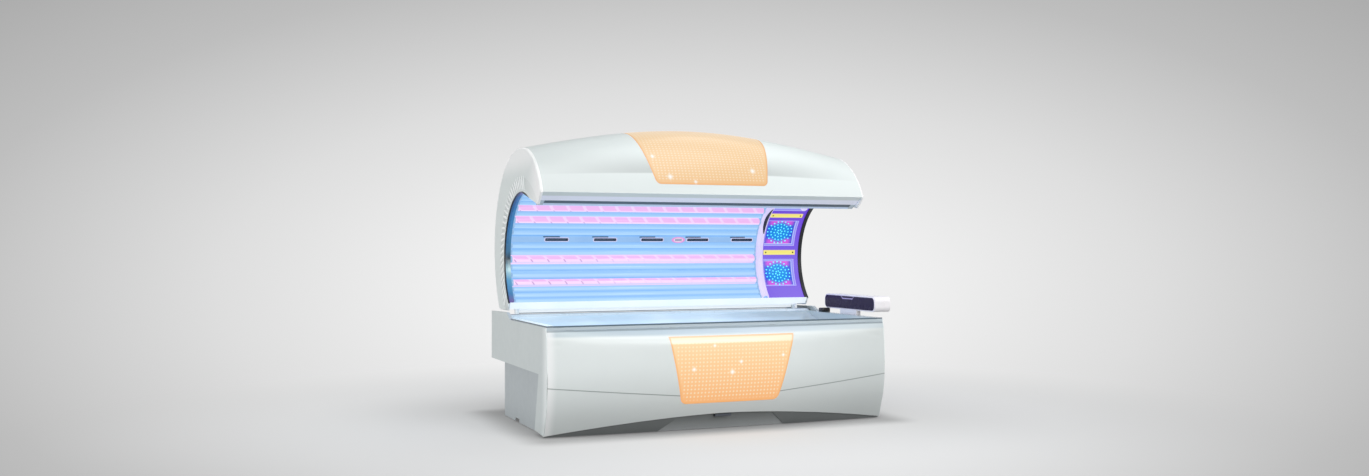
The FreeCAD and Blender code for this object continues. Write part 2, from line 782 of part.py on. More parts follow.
# Bench: an arc across the bed, shared by the acrylic, the lamps and the reflector.
bench_middle = (size("bench_front") + size("bench_back")) / 2
bench_reach = (size("bench_back") - size("bench_front")) / 2
bench_radius = (bench_reach ** 2 + size("bench_sag") ** 2) / (2 * size("bench_sag"))
bench_centre = (bench_middle, BENCH_TOP - size("bench_sag") + bench_radius)
lamp_row = bench_radius + size("acrylic_thickness") + size("lamp_gap") + size("lamp_radius")
reflector_row = lamp_row + size("lamp_radius") + size("lamp_gap")
beam_top = bench_centre[1] - reflector_row - size("reflector_thickness") - GAP
beam_front = size("bench_front") + PANEL
beam_back = size("rail_back") + TUBE / 2
beam_outer = HALF - size("beam_end_inset")
beam_inner = size("beam_inner_reach")
BEAM_PLACES = (-beam_outer, -beam_inner, beam_inner, beam_outer)
UPRIGHT = size("upright_depth")
profile_low = RIM + GAP
BEAM_LENGTH = worked_out(beam_back - beam_front)
BENCH_POST_HEIGHT = worked_out(beam_top - BEAM - PAN_TOP)
front_upright_height = worked_out(profile_low - GAP - beam_top)
back_upright_height = worked_out(DECK - GAP - beam_top)
for number, beam_x in enumerate(BEAM_PLACES):
    corner_x = beam_x - BEAM / 2
    frame_members.append(square_tube("BenchBeam_%d" % number,
                                     ("Sizes.beam_side", BEAM_LENGTH, "Sizes.beam_side"),
                                     (corner_x, beam_front, beam_top - BEAM), 1))
    for post_name, post_y in (("front", size("rail_front") - BEAM / 2),
                              ("back", size("rail_back") - BEAM / 2)):
        frame_members.append(square_tube("BenchPost_%s_%d" % (post_name, number),
                                         ("Sizes.beam_side", "Sizes.beam_side", BENCH_POST_HEIGHT),
                                         (corner_x, post_y, PAN_TOP), 2))
    frame_members.append(square_tube("FrontUpright_%d" % number,
                                     ("Sizes.beam_side", "Sizes.upright_depth",
                                      front_upright_height),
                                     (corner_x, beam_front, beam_top), 2))
    frame_members.append(square_tube("BackUpright_%d" % number,
                                     ("Sizes.beam_side", "Sizes.upright_depth",
                                      back_upright_height),
                                     (corner_x, beam_back - UPRIGHT, beam_top), 2))
keep("base_frame", group("BaseFrame", frame_members))

feet = []
FOOT_PLACES = [(x, y) for y in (size("rail_front"), size("rail_back"))
               for x in (size("foot_inset") - HALF, 0.0, HALF - size("foot_inset"))]
for number, (foot_x, foot_y) in enumerate(FOOT_PLACES):
    pad = cylinder("FootPad_%d" % number, "Sizes.foot_radius", "Sizes.foot_pad",
                   (foot_x, foot_y, 0), (0, 0, 1))
    stem = cylinder("FootStem_%d" % number, "Sizes.foot_stem_radius", "Sizes.foot_clearance",
                    (foot_x, foot_y, 0), (0, 0, 1))
    feet.append(fuse("Foot_%d" % number, [pad, stem]))
keep("levelling_feet", group("LevellingFeet", feet))

# ---------------------------------------------------------------------------------------------
# Bench
# ---------------------------------------------------------------------------------------------

END_WALL = HALF - size("bench_end_inset")
ACRYLIC = size("acrylic_thickness")


def ring_face(x, centre, inner_radius, outer_radius, first, last):
    """Flat face between two arcs in the plane across the bed at x; angles from +Y towards +Z."""
    inner = [Vector(x, *pair) for pair in arc_points(centre, inner_radius, first, last, 3)]
    outer = [Vector(x, *pair) for pair in arc_points(centre, outer_radius, first, last, 3)]
    return Part.Face(Part.Wire([
        Part.Arc(*inner).toShape(),
        Part.makeLine(inner[-1], outer[-1]),
        Part.Arc(*outer[::-1]).toShape(),
        Part.makeLine(outer[0], inner[0]),
    ]))


def ring_sector(centre, inner_radius, outer_radius, angles, span):
    """Curved plate along the bed: radii, first and last angle, and its two ends along X."""
    face = ring_face(span[0], centre, inner_radius, outer_radius, *angles)
    return face.extrude(Vector(span[1] - span[0], 0, 0))


bench_swing = math.degrees(math.asin(bench_reach / bench_radius))
dish_span = (-END_WALL, END_WALL)
dish = ring_sector(bench_centre, bench_radius, bench_radius + ACRYLIC,
                   (-90 - bench_swing, -90 + bench_swing), dish_span)
segment_points = [Vector(END_WALL - ACRYLIC, *pair) for pair in
                  arc_points(bench_centre, bench_radius + ACRYLIC / 2,
                             -90 - bench_swing, -90 + bench_swing, 3)]
segment = Part.Face(Part.Wire([
    Part.Arc(*segment_points).toShape(),
    Part.makeLine(segment_points[-1], segment_points[0]),
])).extrude(Vector(ACRYLIC, 0, 0))
rim_reach = HALF - size("bench_rim_margin")
fin_reach = HALF - size("side_fin") - GAP
dish_pieces = []
for side, sign in SIDES:
    low_x = -rim_reach if sign < 0 else END_WALL - ACRYLIC
    high_x = -END_WALL + ACRYLIC if sign < 0 else rim_reach
    front_flange = Part.makeBox(high_x - low_x, SLOPE_FRONT - 2 * PANEL - size("bench_front"), ACRYLIC,
                                Vector(low_x, size("bench_front"), SIDE_TOP + GAP))
    low_x = -fin_reach if sign < 0 else END_WALL - ACRYLIC
    high_x = -END_WALL + ACRYLIC if sign < 0 else fin_reach
    back_flange = Part.makeBox(high_x - low_x, size("bench_back") - size("bench_front"), ACRYLIC,
                               Vector(low_x, size("bench_front"), SIDE_TOP + GAP))
    wall = segment.mirror(Vector(0, 0, 0), Vector(1, 0, 0)) if sign < 0 else segment
    dish_pieces += [front_flange, back_flange, wall]
keep("bench_acrylic", feature("BenchAcrylic", dish.multiFuse(dish_pieces).removeSplitter()))

profile_high = SIDE_TOP - 3 * GAP
profile_wall = size("profile_wall")
profile_depth = size("profile_depth")
profile_points = [
    Vector(-rim_reach, PROFILE_FACE, profile_low),
    Vector(-rim_reach, PROFILE_FACE + profile_depth, profile_low),
    Vector(-rim_reach, PROFILE_FACE + profile_depth, profile_low + profile_wall),
    Vector(-rim_reach, PROFILE_FACE + profile_wall, profile_low + profile_wall),
    Vector(-rim_reach, PROFILE_FACE + profile_wall, profile_high),
    Vector(-rim_reach, PROFILE_FACE, profile_high),
]
profile = polygon_prism(profile_points, (2 * rim_reach, 0, 0))
for side, sign in SIDES:
    trim_x = -HALF if sign < 0 else HALF - SIDE_DEPTH - GAP
    profile = profile.cut(Part.makeBox(SIDE_DEPTH + GAP, profile_depth, profile_high - profile_low,
                                       Vector(trim_x, PROFILE_FACE + profile_wall, profile_low)))
keep("bench_front_profile", feature("BenchFrontProfile", profile))

lamp_count = int(size("bench_lamp_count"))
lamp_step = size("bench_lamp_step")
lamp_end = HALF - size("bench_lamp_inset")
bench_lamps = []
for number in range(lamp_count):
    angle = math.radians(-90 + lamp_step * (number - (lamp_count - 1) / 2))
    bench_lamps.append(glass_tube("BenchLamp_%d" % number,
                                  "Sizes.base_length - 2 * Sizes.bench_lamp_inset",
                                  (-lamp_end,
                                   bench_centre[0] + lamp_row * math.cos(angle),
                                   bench_centre[1] + lamp_row * math.sin(angle))))
keep("bench_lamps", group("BenchLamps", bench_lamps))

row_swing = lamp_step * lamp_count / 2
row_angles = (-90 - row_swing, -90 + row_swing)
socket_ends = lamp_end + GAP + size("socket_length")
holders = [ring_sector(bench_centre, lamp_row - 0.6 * size("lamp_radius"), reflector_row - GAP,
                       row_angles, span)
           for span in ((lamp_end + GAP, socket_ends), (-socket_ends, -lamp_end - GAP))]
keep("bench_lamp_holders", feature("BenchLampHolders", Part.makeCompound(holders)))
bench_reflector = ring_sector(bench_centre, reflector_row,
                              reflector_row + size("reflector_thickness"), row_angles,
                              (-socket_ends, socket_ends))
keep("bench_reflector", feature("BenchReflector", bench_reflector))

# Rear deck: flat shelf under the canopy whose front edge rises as a sloping white ledge.
ledge_front = size("bench_back") + ACRYLIC * bench_reach / bench_radius + GAP
ledge_back = size("bench_back") + size("ledge_depth")
ledge_peak = DECK + size("ledge_rise")
ledge_points = [
    Vector(-fin_reach, ledge_front, SIDE_TOP),
    Vector(-fin_reach, ledge_front + PANEL, SIDE_TOP),
    Vector(-fin_reach, ledge_back, ledge_peak - PANEL),
    Vector(-fin_reach, ledge_back, DECK + PANEL + GAP),
    Vector(-fin_reach, ledge_back + PANEL, DECK + PANEL + GAP),
    Vector(-fin_reach, ledge_back + PANEL, ledge_peak),
    Vector(-fin_reach, ledge_back - PANEL, ledge_peak),
    Vector(-fin_reach, ledge_front, BENCH_TOP - PANEL / 2),
]
ledge = polygon_prism(ledge_points, (2 * fin_reach, 0, 0))
deck_half = HALF - size("deck_end_inset")
deck = Part.makeBox(2 * deck_half, TUB_BACK - PANEL - GAP - ledge_back, PANEL + GAP,
                    Vector(-deck_half, ledge_back, DECK))
keep("rear_deck", feature("RearDeck", ledge.fuse(deck).removeSplitter()))

# ---------------------------------------------------------------------------------------------
# Ballasts and fans
# ---------------------------------------------------------------------------------------------

ballast_count = int(size("ballast_count"))
ballasts = [box("Ballast_%d" % number,
                ("Sizes.ballast_length", "Sizes.ballast_width", "Sizes.ballast_height"),
                ((number - (ballast_count - 1) / 2) * size("ballast_pitch")
                 - size("ballast_length") / 2,
                 bench_middle - size("ballast_width") / 2, PAN_TOP + GAP))
            for number in range(ballast_count)]
keep("ballasts", group("Ballasts", ballasts))

fan_height = size("fan_height")
fan_front = fan_y - GAP - size("fan_depth")
blade_depth = size("fan_wheel_depth")
hub_start = fan_front + size("fan_wheel_gap")
spoke_reach = size("fan_bore") + size("fan_spoke_seat")
housings = []
for side, fan_x in FAN_PLACES:
    frame_block = box("FanFrame_" + side, ("Sizes.fan_side", "Sizes.fan_depth", "Sizes.fan_side"),
                      (fan_x - size("fan_side") / 2, fan_front, fan_height - size("fan_side") / 2))
    holes = [cylinder("FanBore_" + side, "Sizes.fan_bore", "Sizes.fan_depth",
                      (fan_x, fan_front, fan_height), (0, 1, 0))]
    for across in (-0.5, 0.5):
        for up in (-0.5, 0.5):
            holes.append(cylinder("FanScrew_%s_%d_%d" % (side, across > 0, up > 0),
                                  "Sizes.fan_screw_radius", "Sizes.fan_depth",
                                  (fan_x + across * size("fan_screw_pitch"), fan_front,
                                   fan_height + up * size("fan_screw_pitch")), (0, 1, 0)))
    ring = cut("FanRing_" + side, frame_block, fuse("FanHoles_" + side, holes))
    spoke = box("FanSpoke_" + side,
                ("2 * Sizes.fan_bore + 2 * Sizes.fan_spoke_seat", "Sizes.fan_spoke_depth",
                 "Sizes.fan_spoke_height"),
                (fan_x - spoke_reach, fan_front, fan_height - size("fan_spoke_height") / 2))
    shaft = cylinder("FanShaft_" + side, "Sizes.fan_shaft_radius",
                     "Sizes.fan_wheel_gap + Sizes.fan_wheel_depth + Sizes.panel_wall",
                     (fan_x, fan_front, fan_height), (0, 1, 0))
    housings.append(fuse("FanHousing_" + side, [ring, spoke, shaft]))
    parts_of_rotor = [cylinder("FanHub_" + side, "Sizes.fan_hub", "Sizes.fan_wheel_depth",
                               (fan_x, hub_start, fan_height), (0, 1, 0))]
    for number in range(int(size("fan_blades"))):
        blade = box("FanBlade_%s_%d" % (side, number),
                    ("Sizes.fan_bore - Sizes.fan_tip_gap - Sizes.fan_hub + Sizes.fan_blade_root",
                     "Sizes.fan_wheel_depth", "Sizes.fan_blade_thickness"), (0, 0, 0))
        spin = App.Rotation(Vector(0, 1, 0), 360.0 * number / int(size("fan_blades")))
        pitch = App.Rotation(Vector(1, 0, 0), size("fan_blade_pitch"))
        middle = Vector(0, -blade_depth / 2, -size("fan_blade_thickness") / 2)
        out = Vector(size("fan_hub") - size("fan_blade_root"), 0, 0)
        start = Vector(fan_x, hub_start + blade_depth / 2, fan_height)
        blade.Placement = App.Placement(start, spin).multiply(
            App.Placement(out, pitch)).multiply(App.Placement(middle, App.Rotation()))
        parts_of_rotor.append(blade)
    rotor_bore = cylinder("RotorBore_" + side, "Sizes.fan_shaft_radius + Sizes.hinge_fit",
                          "Sizes.fan_depth", (fan_x, hub_start - GAP, fan_height), (0, 1, 0))
    keep("fan_rotor_" + side,
         cut("FanRotor_" + side, fuse("FanWheel_" + side, parts_of_rotor), rotor_bore))
keep("fan_housings", group("FanHousings", housings))

# ---------------------------------------------------------------------------------------------
# Hinges and gas struts
# ---------------------------------------------------------------------------------------------

HINGE_Y = size("bench_back") + size("hinge_behind_bench")
HINGE_Z = DECK + size("hinge_rise")
PLATE = size("hinge_plate")
PLANE = HALF - size("hinge_end_inset")
BOSS = size("hinge_boss")
neck_half = BOSS - size("bracket_shoulder")
foot_y = TUB_BACK - size("strut_foot_inset")
foot_z = DECK - size("strut_foot_drop")
tail_angle = math.radians(size("tail_angle"))
TAIL = (HINGE_Y + size("tail_length") * math.cos(tail_angle),
        HINGE_Z + size("tail_length") * math.sin(tail_angle))
STRUT_X = HALF - size("strut_end_inset")
stud_length = STRUT_X + size("strut_eye_width") - PLANE - PLATE
BRACKET_OUTLINE = [
    (HINGE_Y - neck_half, PAN_TOP + GAP),
    (HINGE_Y + neck_half, PAN_TOP + GAP),
    (HINGE_Y + neck_half, foot_z - 2 * BOSS),
    (foot_y + BOSS, foot_z - BOSS),
    (foot_y + BOSS, foot_z + BOSS),
    (HINGE_Y + neck_half, foot_z + 2 * BOSS),
    (HINGE_Y + neck_half, HINGE_Z),
    (HINGE_Y - neck_half, HINGE_Z),
]
brackets = []
pins = []
for side, sign in SIDES:
    start_x = sign * PLANE if sign > 0 else -PLANE - PLATE
    plate = plate_body("BracketPlate_" + side, BRACKET_OUTLINE, "Sizes.hinge_plate", start_x)
    boss = cylinder("BracketBoss_" + side, "Sizes.hinge_boss", "Sizes.hinge_plate",
                    (start_x, HINGE_Y, HINGE_Z), (1, 0, 0))
    stud_start = PLANE + PLATE / 2
    stud = cylinder("StrutStud_" + side, "Sizes.strut_pin_radius",
                    "Sizes.hinge_end_inset - Sizes.strut_end_inset + Sizes.strut_eye_width"
                    " - Sizes.hinge_plate / 2",
                    (sign * stud_start, foot_y, foot_z), (sign, 0, 0))
    bore = cylinder("BracketBore_" + side, "Sizes.hinge_pin_radius + Sizes.hinge_fit",
                    "3 * Sizes.hinge_plate", (start_x - PLATE, HINGE_Y, HINGE_Z), (1, 0, 0))
    brackets.append(cut("HingeBracket_" + side,
                        fuse("BracketSolid_" + side, [plate, boss, stud]), bore))
    shaft = cylinder("PinShaft_" + side, "Sizes.hinge_pin_radius",
                     "2 * Sizes.hinge_plate + 12 * Sizes.fit_gap + Sizes.hinge_plate / 2",
                     (sign * (PLANE - PLATE / 2), HINGE_Y, HINGE_Z), (sign, 0, 0))
    head = cylinder("PinHead_" + side, "1.5 * Sizes.hinge_pin_radius", "Sizes.hinge_plate / 2",
                    (sign * (PLANE - PLATE / 2 - GAP), HINGE_Y, HINGE_Z), (sign, 0, 0))
    pins.append(fuse("HingePin_" + side, [shaft, head]))
keep("hinge_brackets", group("HingeBrackets", brackets))
keep("hinge_pins", group("HingePins", pins))

strut_reach = math.hypot(TAIL[0] - foot_y, TAIL[1] - foot_z)
strut_line = ((TAIL[0] - foot_y) / strut_reach, (TAIL[1] - foot_z) / strut_reach)


def along_strut(x, distance):
    return (x, foot_y + strut_line[0] * distance, foot_z + strut_line[1] * distance)


STRUT_DIRECTION = (0, strut_line[0], strut_line[1])
eye_radius = size("strut_eye_radius")
tube_start = eye_radius - PANEL / 2
tube_end = tube_start + size("strut_tube_length")
rod_start = tube_end - size("strut_rod_buried")
open_eye = size("strut_open_eye_radius")
for side, sign in SIDES:
    x = sign * STRUT_X
    eye_start = x - size("strut_eye_width") / 2
    eye = cylinder("StrutEye_" + side, "Sizes.strut_eye_radius", "Sizes.strut_eye_width",
                   (eye_start, foot_y, foot_z), (1, 0, 0))
    tube = cylinder("StrutTube_" + side, "Sizes.strut_tube_radius", "Sizes.strut_tube_length",
                    along_strut(x, tube_start), STRUT_DIRECTION)
    pin_hole = cylinder("StrutPinHole_" + side, "Sizes.strut_pin_radius + Sizes.strut_fit",
                        "2 * Sizes.strut_eye_width", (eye_start - size("strut_eye_width") / 2,
                                                      foot_y, foot_z), (1, 0, 0))
    rod_bore = cylinder("StrutRodBore_" + side, "Sizes.strut_rod_radius + Sizes.strut_fit",
                        "Sizes.strut_tube_length",
                        along_strut(x, tube_start + 2 * eye_radius), STRUT_DIRECTION)
    keep("strut_cylinder_" + side,
         cut("StrutCylinder_" + side, fuse("StrutBody_" + side, [eye, tube]),
             fuse("StrutHoles_" + side, [pin_hole, rod_bore])))
    rod = cylinder("StrutRodShaft_" + side, "Sizes.strut_rod_radius",
                   worked_out(strut_reach - rod_start - open_eye + PANEL / 2),
                   along_strut(x, rod_start), STRUT_DIRECTION)
    rod_eye = cylinder("StrutRodEye_" + side, "Sizes.strut_open_eye_radius",
                       "Sizes.strut_eye_width", (eye_start, TAIL[0], TAIL[1]), (1, 0, 0))
    eye_hole = cylinder("StrutOpenHole_" + side,
                        "Sizes.strut_pin_radius + Sizes.strut_swing_clearance",
                        "2 * Sizes.strut_eye_width", (eye_start - size("strut_eye_width") / 2,
                                                      TAIL[0], TAIL[1]), (1, 0, 0))
    keep("strut_rod_" + side,
         cut("StrutRod_" + side, fuse("StrutRodSolid_" + side, [rod, rod_eye]), eye_hole))

# ---------------------------------------------------------------------------------------------
# Canopy shell: two arcs in section, crowned towards the middle of the bed
# ---------------------------------------------------------------------------------------------


def from_hinge(name):
    """Place in section, as (y, z), of a point whose two sizes are measured from the hinge pin."""
    return (HINGE_Y + size(name + "_y"), HINGE_Z + size(name + "_z"))


CANOPY_HALF = HALF - size("canopy_end_inset")
CAP = size("end_cap_depth")
COVER_HALF = CANOPY_HALF - CAP - GAP
BROW = from_hinge("brow_centre")
BACK = from_hinge("back_centre")
CAVITY = from_hinge("cavity")
CAVITY_RADIUS = size("cavity_radius")
lip_angle = size("brow_lip_angle")
seam_angle = size("cover_seam_angle")
back_bottom = size("back_bottom_angle")
canopy_top = BACK[1] + size("back_radius")
lip_height = BROW[1] + size("brow_radius") * math.sin(math.radians(lip_angle))


CREST = 90.0


def brow_arc(depth):
    return arc_points(BROW, size("brow_radius") - depth, lip_angle, size("brow_top_angle"), 8)


def back_arc(depth, first, last, count):
    return arc_points(BACK, size("back_radius") - depth, first, last, count)


def crowned(x, pairs):
    """Section points lifted by the crown, which fades out at the ends, the lip and the back."""
    crown = size("crown_rise") * math.cos(math.pi / 2 * min(abs(x) / (CANOPY_HALF - CAP), 1.0))
    run = []
    for y, z in pairs:
        foot = lip_height if y < BROW[0] else BACK[1]
        run.append(Vector(x, y, z + crown * smooth((z - foot) / (canopy_top - foot))))
    return run


def front_section(depth):
    return brow_arc(depth) + back_arc(depth, CREST, seam_angle, 3)


def back_section(depth):
    return back_arc(depth, seam_angle - 0.05, back_bottom, 12)


def canopy_band(section, shallow, deep, half_length):
    stations = [half_length * step / 5 for step in range(-5, 6)]
    wires = [band_wire(crowned(x, section(shallow)), crowned(x, section(deep))) for x in stations]
    return Part.makeLoft(wires, True, False)


def canopy_light_outline(margin):
    """Upper light panel: widens upwards and wraps over the top, as a prism along Y."""
    half_top = size("canopy_light_top_width") / 2 + margin
    half_bottom = size("canopy_light_bottom_width") / 2 + margin
    bottom = HINGE_Z + size("canopy_light_bottom") - margin
    top = canopy_top + size("crown_rise") + 2 * PANEL
    middle = size("canopy_light_offset")
    corners = [
        Vector(middle - half_top, 0, top),
        Vector(middle - half_bottom, 0, bottom),
        Vector(middle + half_bottom, 0, bottom),
        Vector(middle + half_top, 0, top),
    ]
    depth = HINGE_Y + size("canopy_light_back") + margin
    prism = polygon_prism(corners, (0, depth, 0))
    lower = [edge for edge in prism.Edges
             if edge.BoundBox.YLength > depth / 2 and edge.BoundBox.ZMax < (top + bottom) / 2]
    return prism.makeFillet(size("canopy_light_corner"), lower)


canopy_front = canopy_band(front_section, 0.0, WALL, COVER_HALF)
canopy_window = canopy_light_outline(size("window_gap"))
keep("canopy_front_cover", feature("CanopyFrontCover", canopy_front.cut(canopy_window)))
canopy_light = canopy_front.common(canopy_light_outline(0.0))
keep("canopy_light_panel", feature("CanopyLightPanel", canopy_light))
keep("canopy_rear_cover",
     feature("CanopyRearCover", canopy_band(back_section, 0.0, WALL, COVER_HALF)))
board = canopy_band(front_section, WALL + GAP, WALL + GAP + tray_depth, COVER_HALF)
board_well = canopy_band(front_section, WALL, WALL + GAP + tray_depth - tray_wall, COVER_HALF)
board = board.common(canopy_light_outline(4 * tray_wall))
board = board.cut(board_well.common(canopy_light_outline(3 * tray_wall)))
keep("canopy_light_board", feature("CanopyLightBoard", board))

brow_tip = from_hinge("brow_tip")

# Bottom of the canopy: a strip under the lamps and a floor behind it.
cavity_bottom = math.radians(size("cavity_bottom_angle"))
strip_top = (CAVITY[0] + CAVITY_RADIUS * math.cos(cavity_bottom),
             CAVITY[1] + CAVITY_RADIUS * math.sin(cavity_bottom))
strip_low = (HINGE_Y - size("strip_lead"), HINGE_Z - BOSS)
floor_front = (HINGE_Y - size("floor_lead"), HINGE_Z - size("floor_drop"))
back_foot = back_arc(WALL, back_bottom, back_bottom - 1, 2)[0]
floor_back = (back_foot[0] - 2 * PANEL, floor_front[1])


def cap_wire(x, bevel, inner):
    """C-shaped outline of an end cap, shrunk by a bevel outside and by an allowance inside."""
    outer = brow_arc(bevel) + back_arc(bevel, CREST, back_bottom, 13)
    cavity = [Vector(x, *pair) for pair in
              arc_points(CAVITY, CAVITY_RADIUS + inner, size("cavity_bottom_angle"),
                         size("cavity_top_angle"), 3)]
    run = [Vector(x, *pair) for pair in outer]
    floor = floor_front[1] + bevel
    corners = [
        run[-1],
        Vector(x, floor_back[0] - bevel, floor),
        Vector(x, strip_low[0] + inner, floor),
        cavity[0],
    ]
    tip = Vector(x, brow_tip[0] + inner / 2, brow_tip[1] + inner)
    edges = [spline_edge(run)]
    edges += [Part.makeLine(first, second) for first, second in zip(corners, corners[1:])]
    edges.append(Part.Arc(*cavity).toShape())
    edges.append(Part.makeLine(cavity[-1], tip))
    edges.append(Part.makeLine(tip, run[0]))
    return Part.Wire(edges)


cap_wall = size("end_cap_wall")
bevel = size("end_cap_bevel")
for side, sign in SIDES:
    root = sign * (CANOPY_HALF - CAP)
    shoulder = sign * (CANOPY_HALF - bevel)
    tip_x = sign * CANOPY_HALF
    cap = Part.makeLoft([cap_wire(root, 0.0, 0.0), cap_wire(shoulder, 0.0, 0.0)], True, True)
    cap = cap.fuse(Part.makeLoft([cap_wire(shoulder, 0.0, 0.0), cap_wire(tip_x, bevel, 0.0)],
                                 True, True))
    hollow_end = sign * (CANOPY_HALF - bevel - cap_wall)
    cap_hollow = Part.makeLoft([cap_wire(root - sign, cap_wall, cap_wall),
                                cap_wire(hollow_end, cap_wall, cap_wall)], True, True)
    keep("canopy_end_" + side, feature("CanopyEnd_" + side, cap.cut(cap_hollow)))

strip_vector = Vector(0, strip_low[0] - strip_top[0], strip_low[1] - strip_top[1]).normalize()
strip_back = Vector(0, -strip_vector.z, strip_vector.y) * PANEL
strip_points = [Vector(-COVER_HALF, *strip_top), Vector(-COVER_HALF, *strip_low)]
strip_points += [point + strip_back for point in reversed(strip_points)]
bottom_strip = polygon_prism(strip_points, (2 * COVER_HALF, 0, 0))
floor_points = [
    Vector(-deck_half, *strip_low),
    Vector(-deck_half, *floor_front),
    Vector(-deck_half, *floor_back),
    Vector(-deck_half, floor_back[0], floor_back[1] + PANEL),
    Vector(-deck_half, floor_front[0] + PANEL / 2, floor_front[1] + PANEL),
    Vector(-deck_half, strip_low[0] + strip_back.y, strip_low[1] + strip_back.z),
]
bottom_floor = polygon_prism(floor_points, (2 * deck_half, 0, 0))
keep("canopy_bottom_cover",
     feature("CanopyBottomCover", bottom_strip.fuse(bottom_floor).removeSplitter()))

# Brow underside, handle rail and its end caps.
under_front = arc_points(BROW, size("brow_radius") - WALL - GAP, lip_angle, lip_angle - 1, 2)[0]
slot = from_hinge("slot")
rail = from_hinge("rail")
rail_wall = size("rail_wall")
under_points = [
    Vector(-COVER_HALF, *under_front),
    Vector(-COVER_HALF, slot[0] - GAP, slot[1]),
    Vector(-COVER_HALF, slot[0] - GAP, slot[1] + PANEL),
    Vector(-COVER_HALF, under_front[0] + PANEL / 2 + GAP, under_front[1] + PANEL),
]
keep("brow_underside",
     feature("BrowUnderside", polygon_prism(under_points, (2 * COVER_HALF, 0, 0))))
rail_end = COVER_HALF - 1.5 * size("rail_cap_length")


def rail_section(x):
    return [
        Vector(x, *slot),
        Vector(x, rail[0] - rail_wall, rail[1]),
        Vector(x, *rail),
        Vector(x, rail[0], rail[1] + rail_wall),
        Vector(x, slot[0], slot[1] + rail_wall),
    ]


keep("handle_rail", feature("HandleRail", polygon_prism(rail_section(-rail_end),
                                                        (2 * rail_end, 0, 0))))
rail_caps = [polygon_prism(rail_section(sign * (rail_end + GAP)),
                           (sign * (COVER_HALF - rail_end - GAP), 0, 0)) for _, sign in SIDES]
keep("handle_end_caps", feature("HandleEndCaps", Part.makeCompound(rail_caps)))

# ---------------------------------------------------------------------------------------------
# Canopy interior: frame, reflector, lamps, air nozzles and facial unit
# ---------------------------------------------------------------------------------------------

ROW = size("lamp_row_radius")
REFLECTOR = ROW + size("lamp_radius") + size("lamp_gap")
SKIN = size("reflector_thickness")
lamp_start = size("lamp_start_inset") - CANOPY_HALF
rim_start = CANOPY_HALF - CAP - GAP
cavity_low = size("cavity_bottom_angle")
top_angle = size("reflector_end_angle")
interior_half = rim_start - size("rim_thickness") - GAP
panel_start = interior_half - size("facial_length")
divider_stop = panel_start - GAP
divider_start = divider_stop - size("divider_width")
lamp_stop = divider_start - PANEL

# Lamp angles round the cavity, from below the horizontal up and over to the brow.
PINK_ANGLES = (-21.0, -0.5, 35.75, 56.0)
BLUE_RUNS = ((-39.0, -27.0, 3), (-14.2, -7.3, 2), (5.6, 11.4, 2), (23.6, 29.6, 2),
             (42.5, 49.3, 2), (62.8, 123.0, 10))
lamp_angles = list(PINK_ANGLES)
for first, last, count in BLUE_RUNS:
    lamp_angles += [first + (last - first) * step / (count - 1) for step in range(count)]
canopy_lamps = []
for number, degrees in enumerate(sorted(lamp_angles)):
    angle = math.radians(degrees)
    canopy_lamps.append(glass_tube("CanopyLamp_%d" % number, worked_out(lamp_stop - lamp_start),
                                   (lamp_start, CAVITY[0] + ROW * math.cos(angle),
                                    CAVITY[1] + ROW * math.sin(angle))))
keep("canopy_lamps", group("CanopyLamps", canopy_lamps))

reflector = ring_sector(CAVITY, REFLECTOR, REFLECTOR + SKIN, (cavity_low + 2, top_angle),
                        (-interior_half, interior_half))
keep("canopy_reflector", feature("CanopyReflector", reflector))

rims = [ring_sector(CAVITY, CAVITY_RADIUS, CAVITY_RADIUS + size("rim_width"),
                    (cavity_low + 1, size("rim_top_angle")),
                    (sign * (interior_half + GAP), sign * rim_start)) for _, sign in SIDES]
keep("canopy_rims", feature("CanopyRims", Part.makeCompound(rims)))

socket_angles = (cavity_low + 3, top_angle - 2)
left_rail = ring_sector(CAVITY, CAVITY_RADIUS + 2 * PANEL, REFLECTOR - GAP, socket_angles,
                        (-interior_half, lamp_start - GAP))
right_rail = ring_sector(CAVITY, ROW - size("lamp_gap"), REFLECTOR - GAP, socket_angles,
                         (lamp_stop + GAP, lamp_stop + size("socket_rail_depth")))
keep("canopy_lamp_holders",
     feature("CanopyLampHolders", Part.makeCompound([left_rail, right_rail])))

# Shoulder divider: a hollow rounded rib swept round the cavity between lamps and facial unit.
divider_rise = size("divider_height")
divider_foot = CAVITY_RADIUS + 3 * PANEL


def divider_side(margin):
    """Half outline of the rib in (along the bed, radius) pairs, foot first."""
    return [
        (divider_start + margin, divider_foot),
        (divider_start + margin + PANEL, divider_foot - 0.7 * divider_rise),
        (divider_start + margin + 4 * PANEL, divider_foot - divider_rise + margin),
    ]


def mirrored_side(margin):
    middle = (divider_start + divider_stop) / 2
    return [(2 * middle - across, radius) for across, radius in reversed(divider_side(margin))]


rib_outline = divider_side(0.0) + mirrored_side(0.0)
rib_outline += [pair for pair in reversed(divider_side(PANEL) + mirrored_side(PANEL))]
rib_points = [Vector(across, CAVITY[0] + radius, CAVITY[1]) for across, radius in rib_outline]
rib_face = Part.Face(Part.makePolygon(rib_points + [rib_points[0]]))
rib_axis = (Vector(0, *CAVITY), Vector(1, 0, 0))
rib_face.rotate(rib_axis[0], rib_axis[1], cavity_low + 1)
divider = rib_face.revolve(rib_axis[0], rib_axis[1], size("trim_top_angle") - cavity_low - 1)
keep("shoulder_divider", feature("ShoulderDivider", divider))

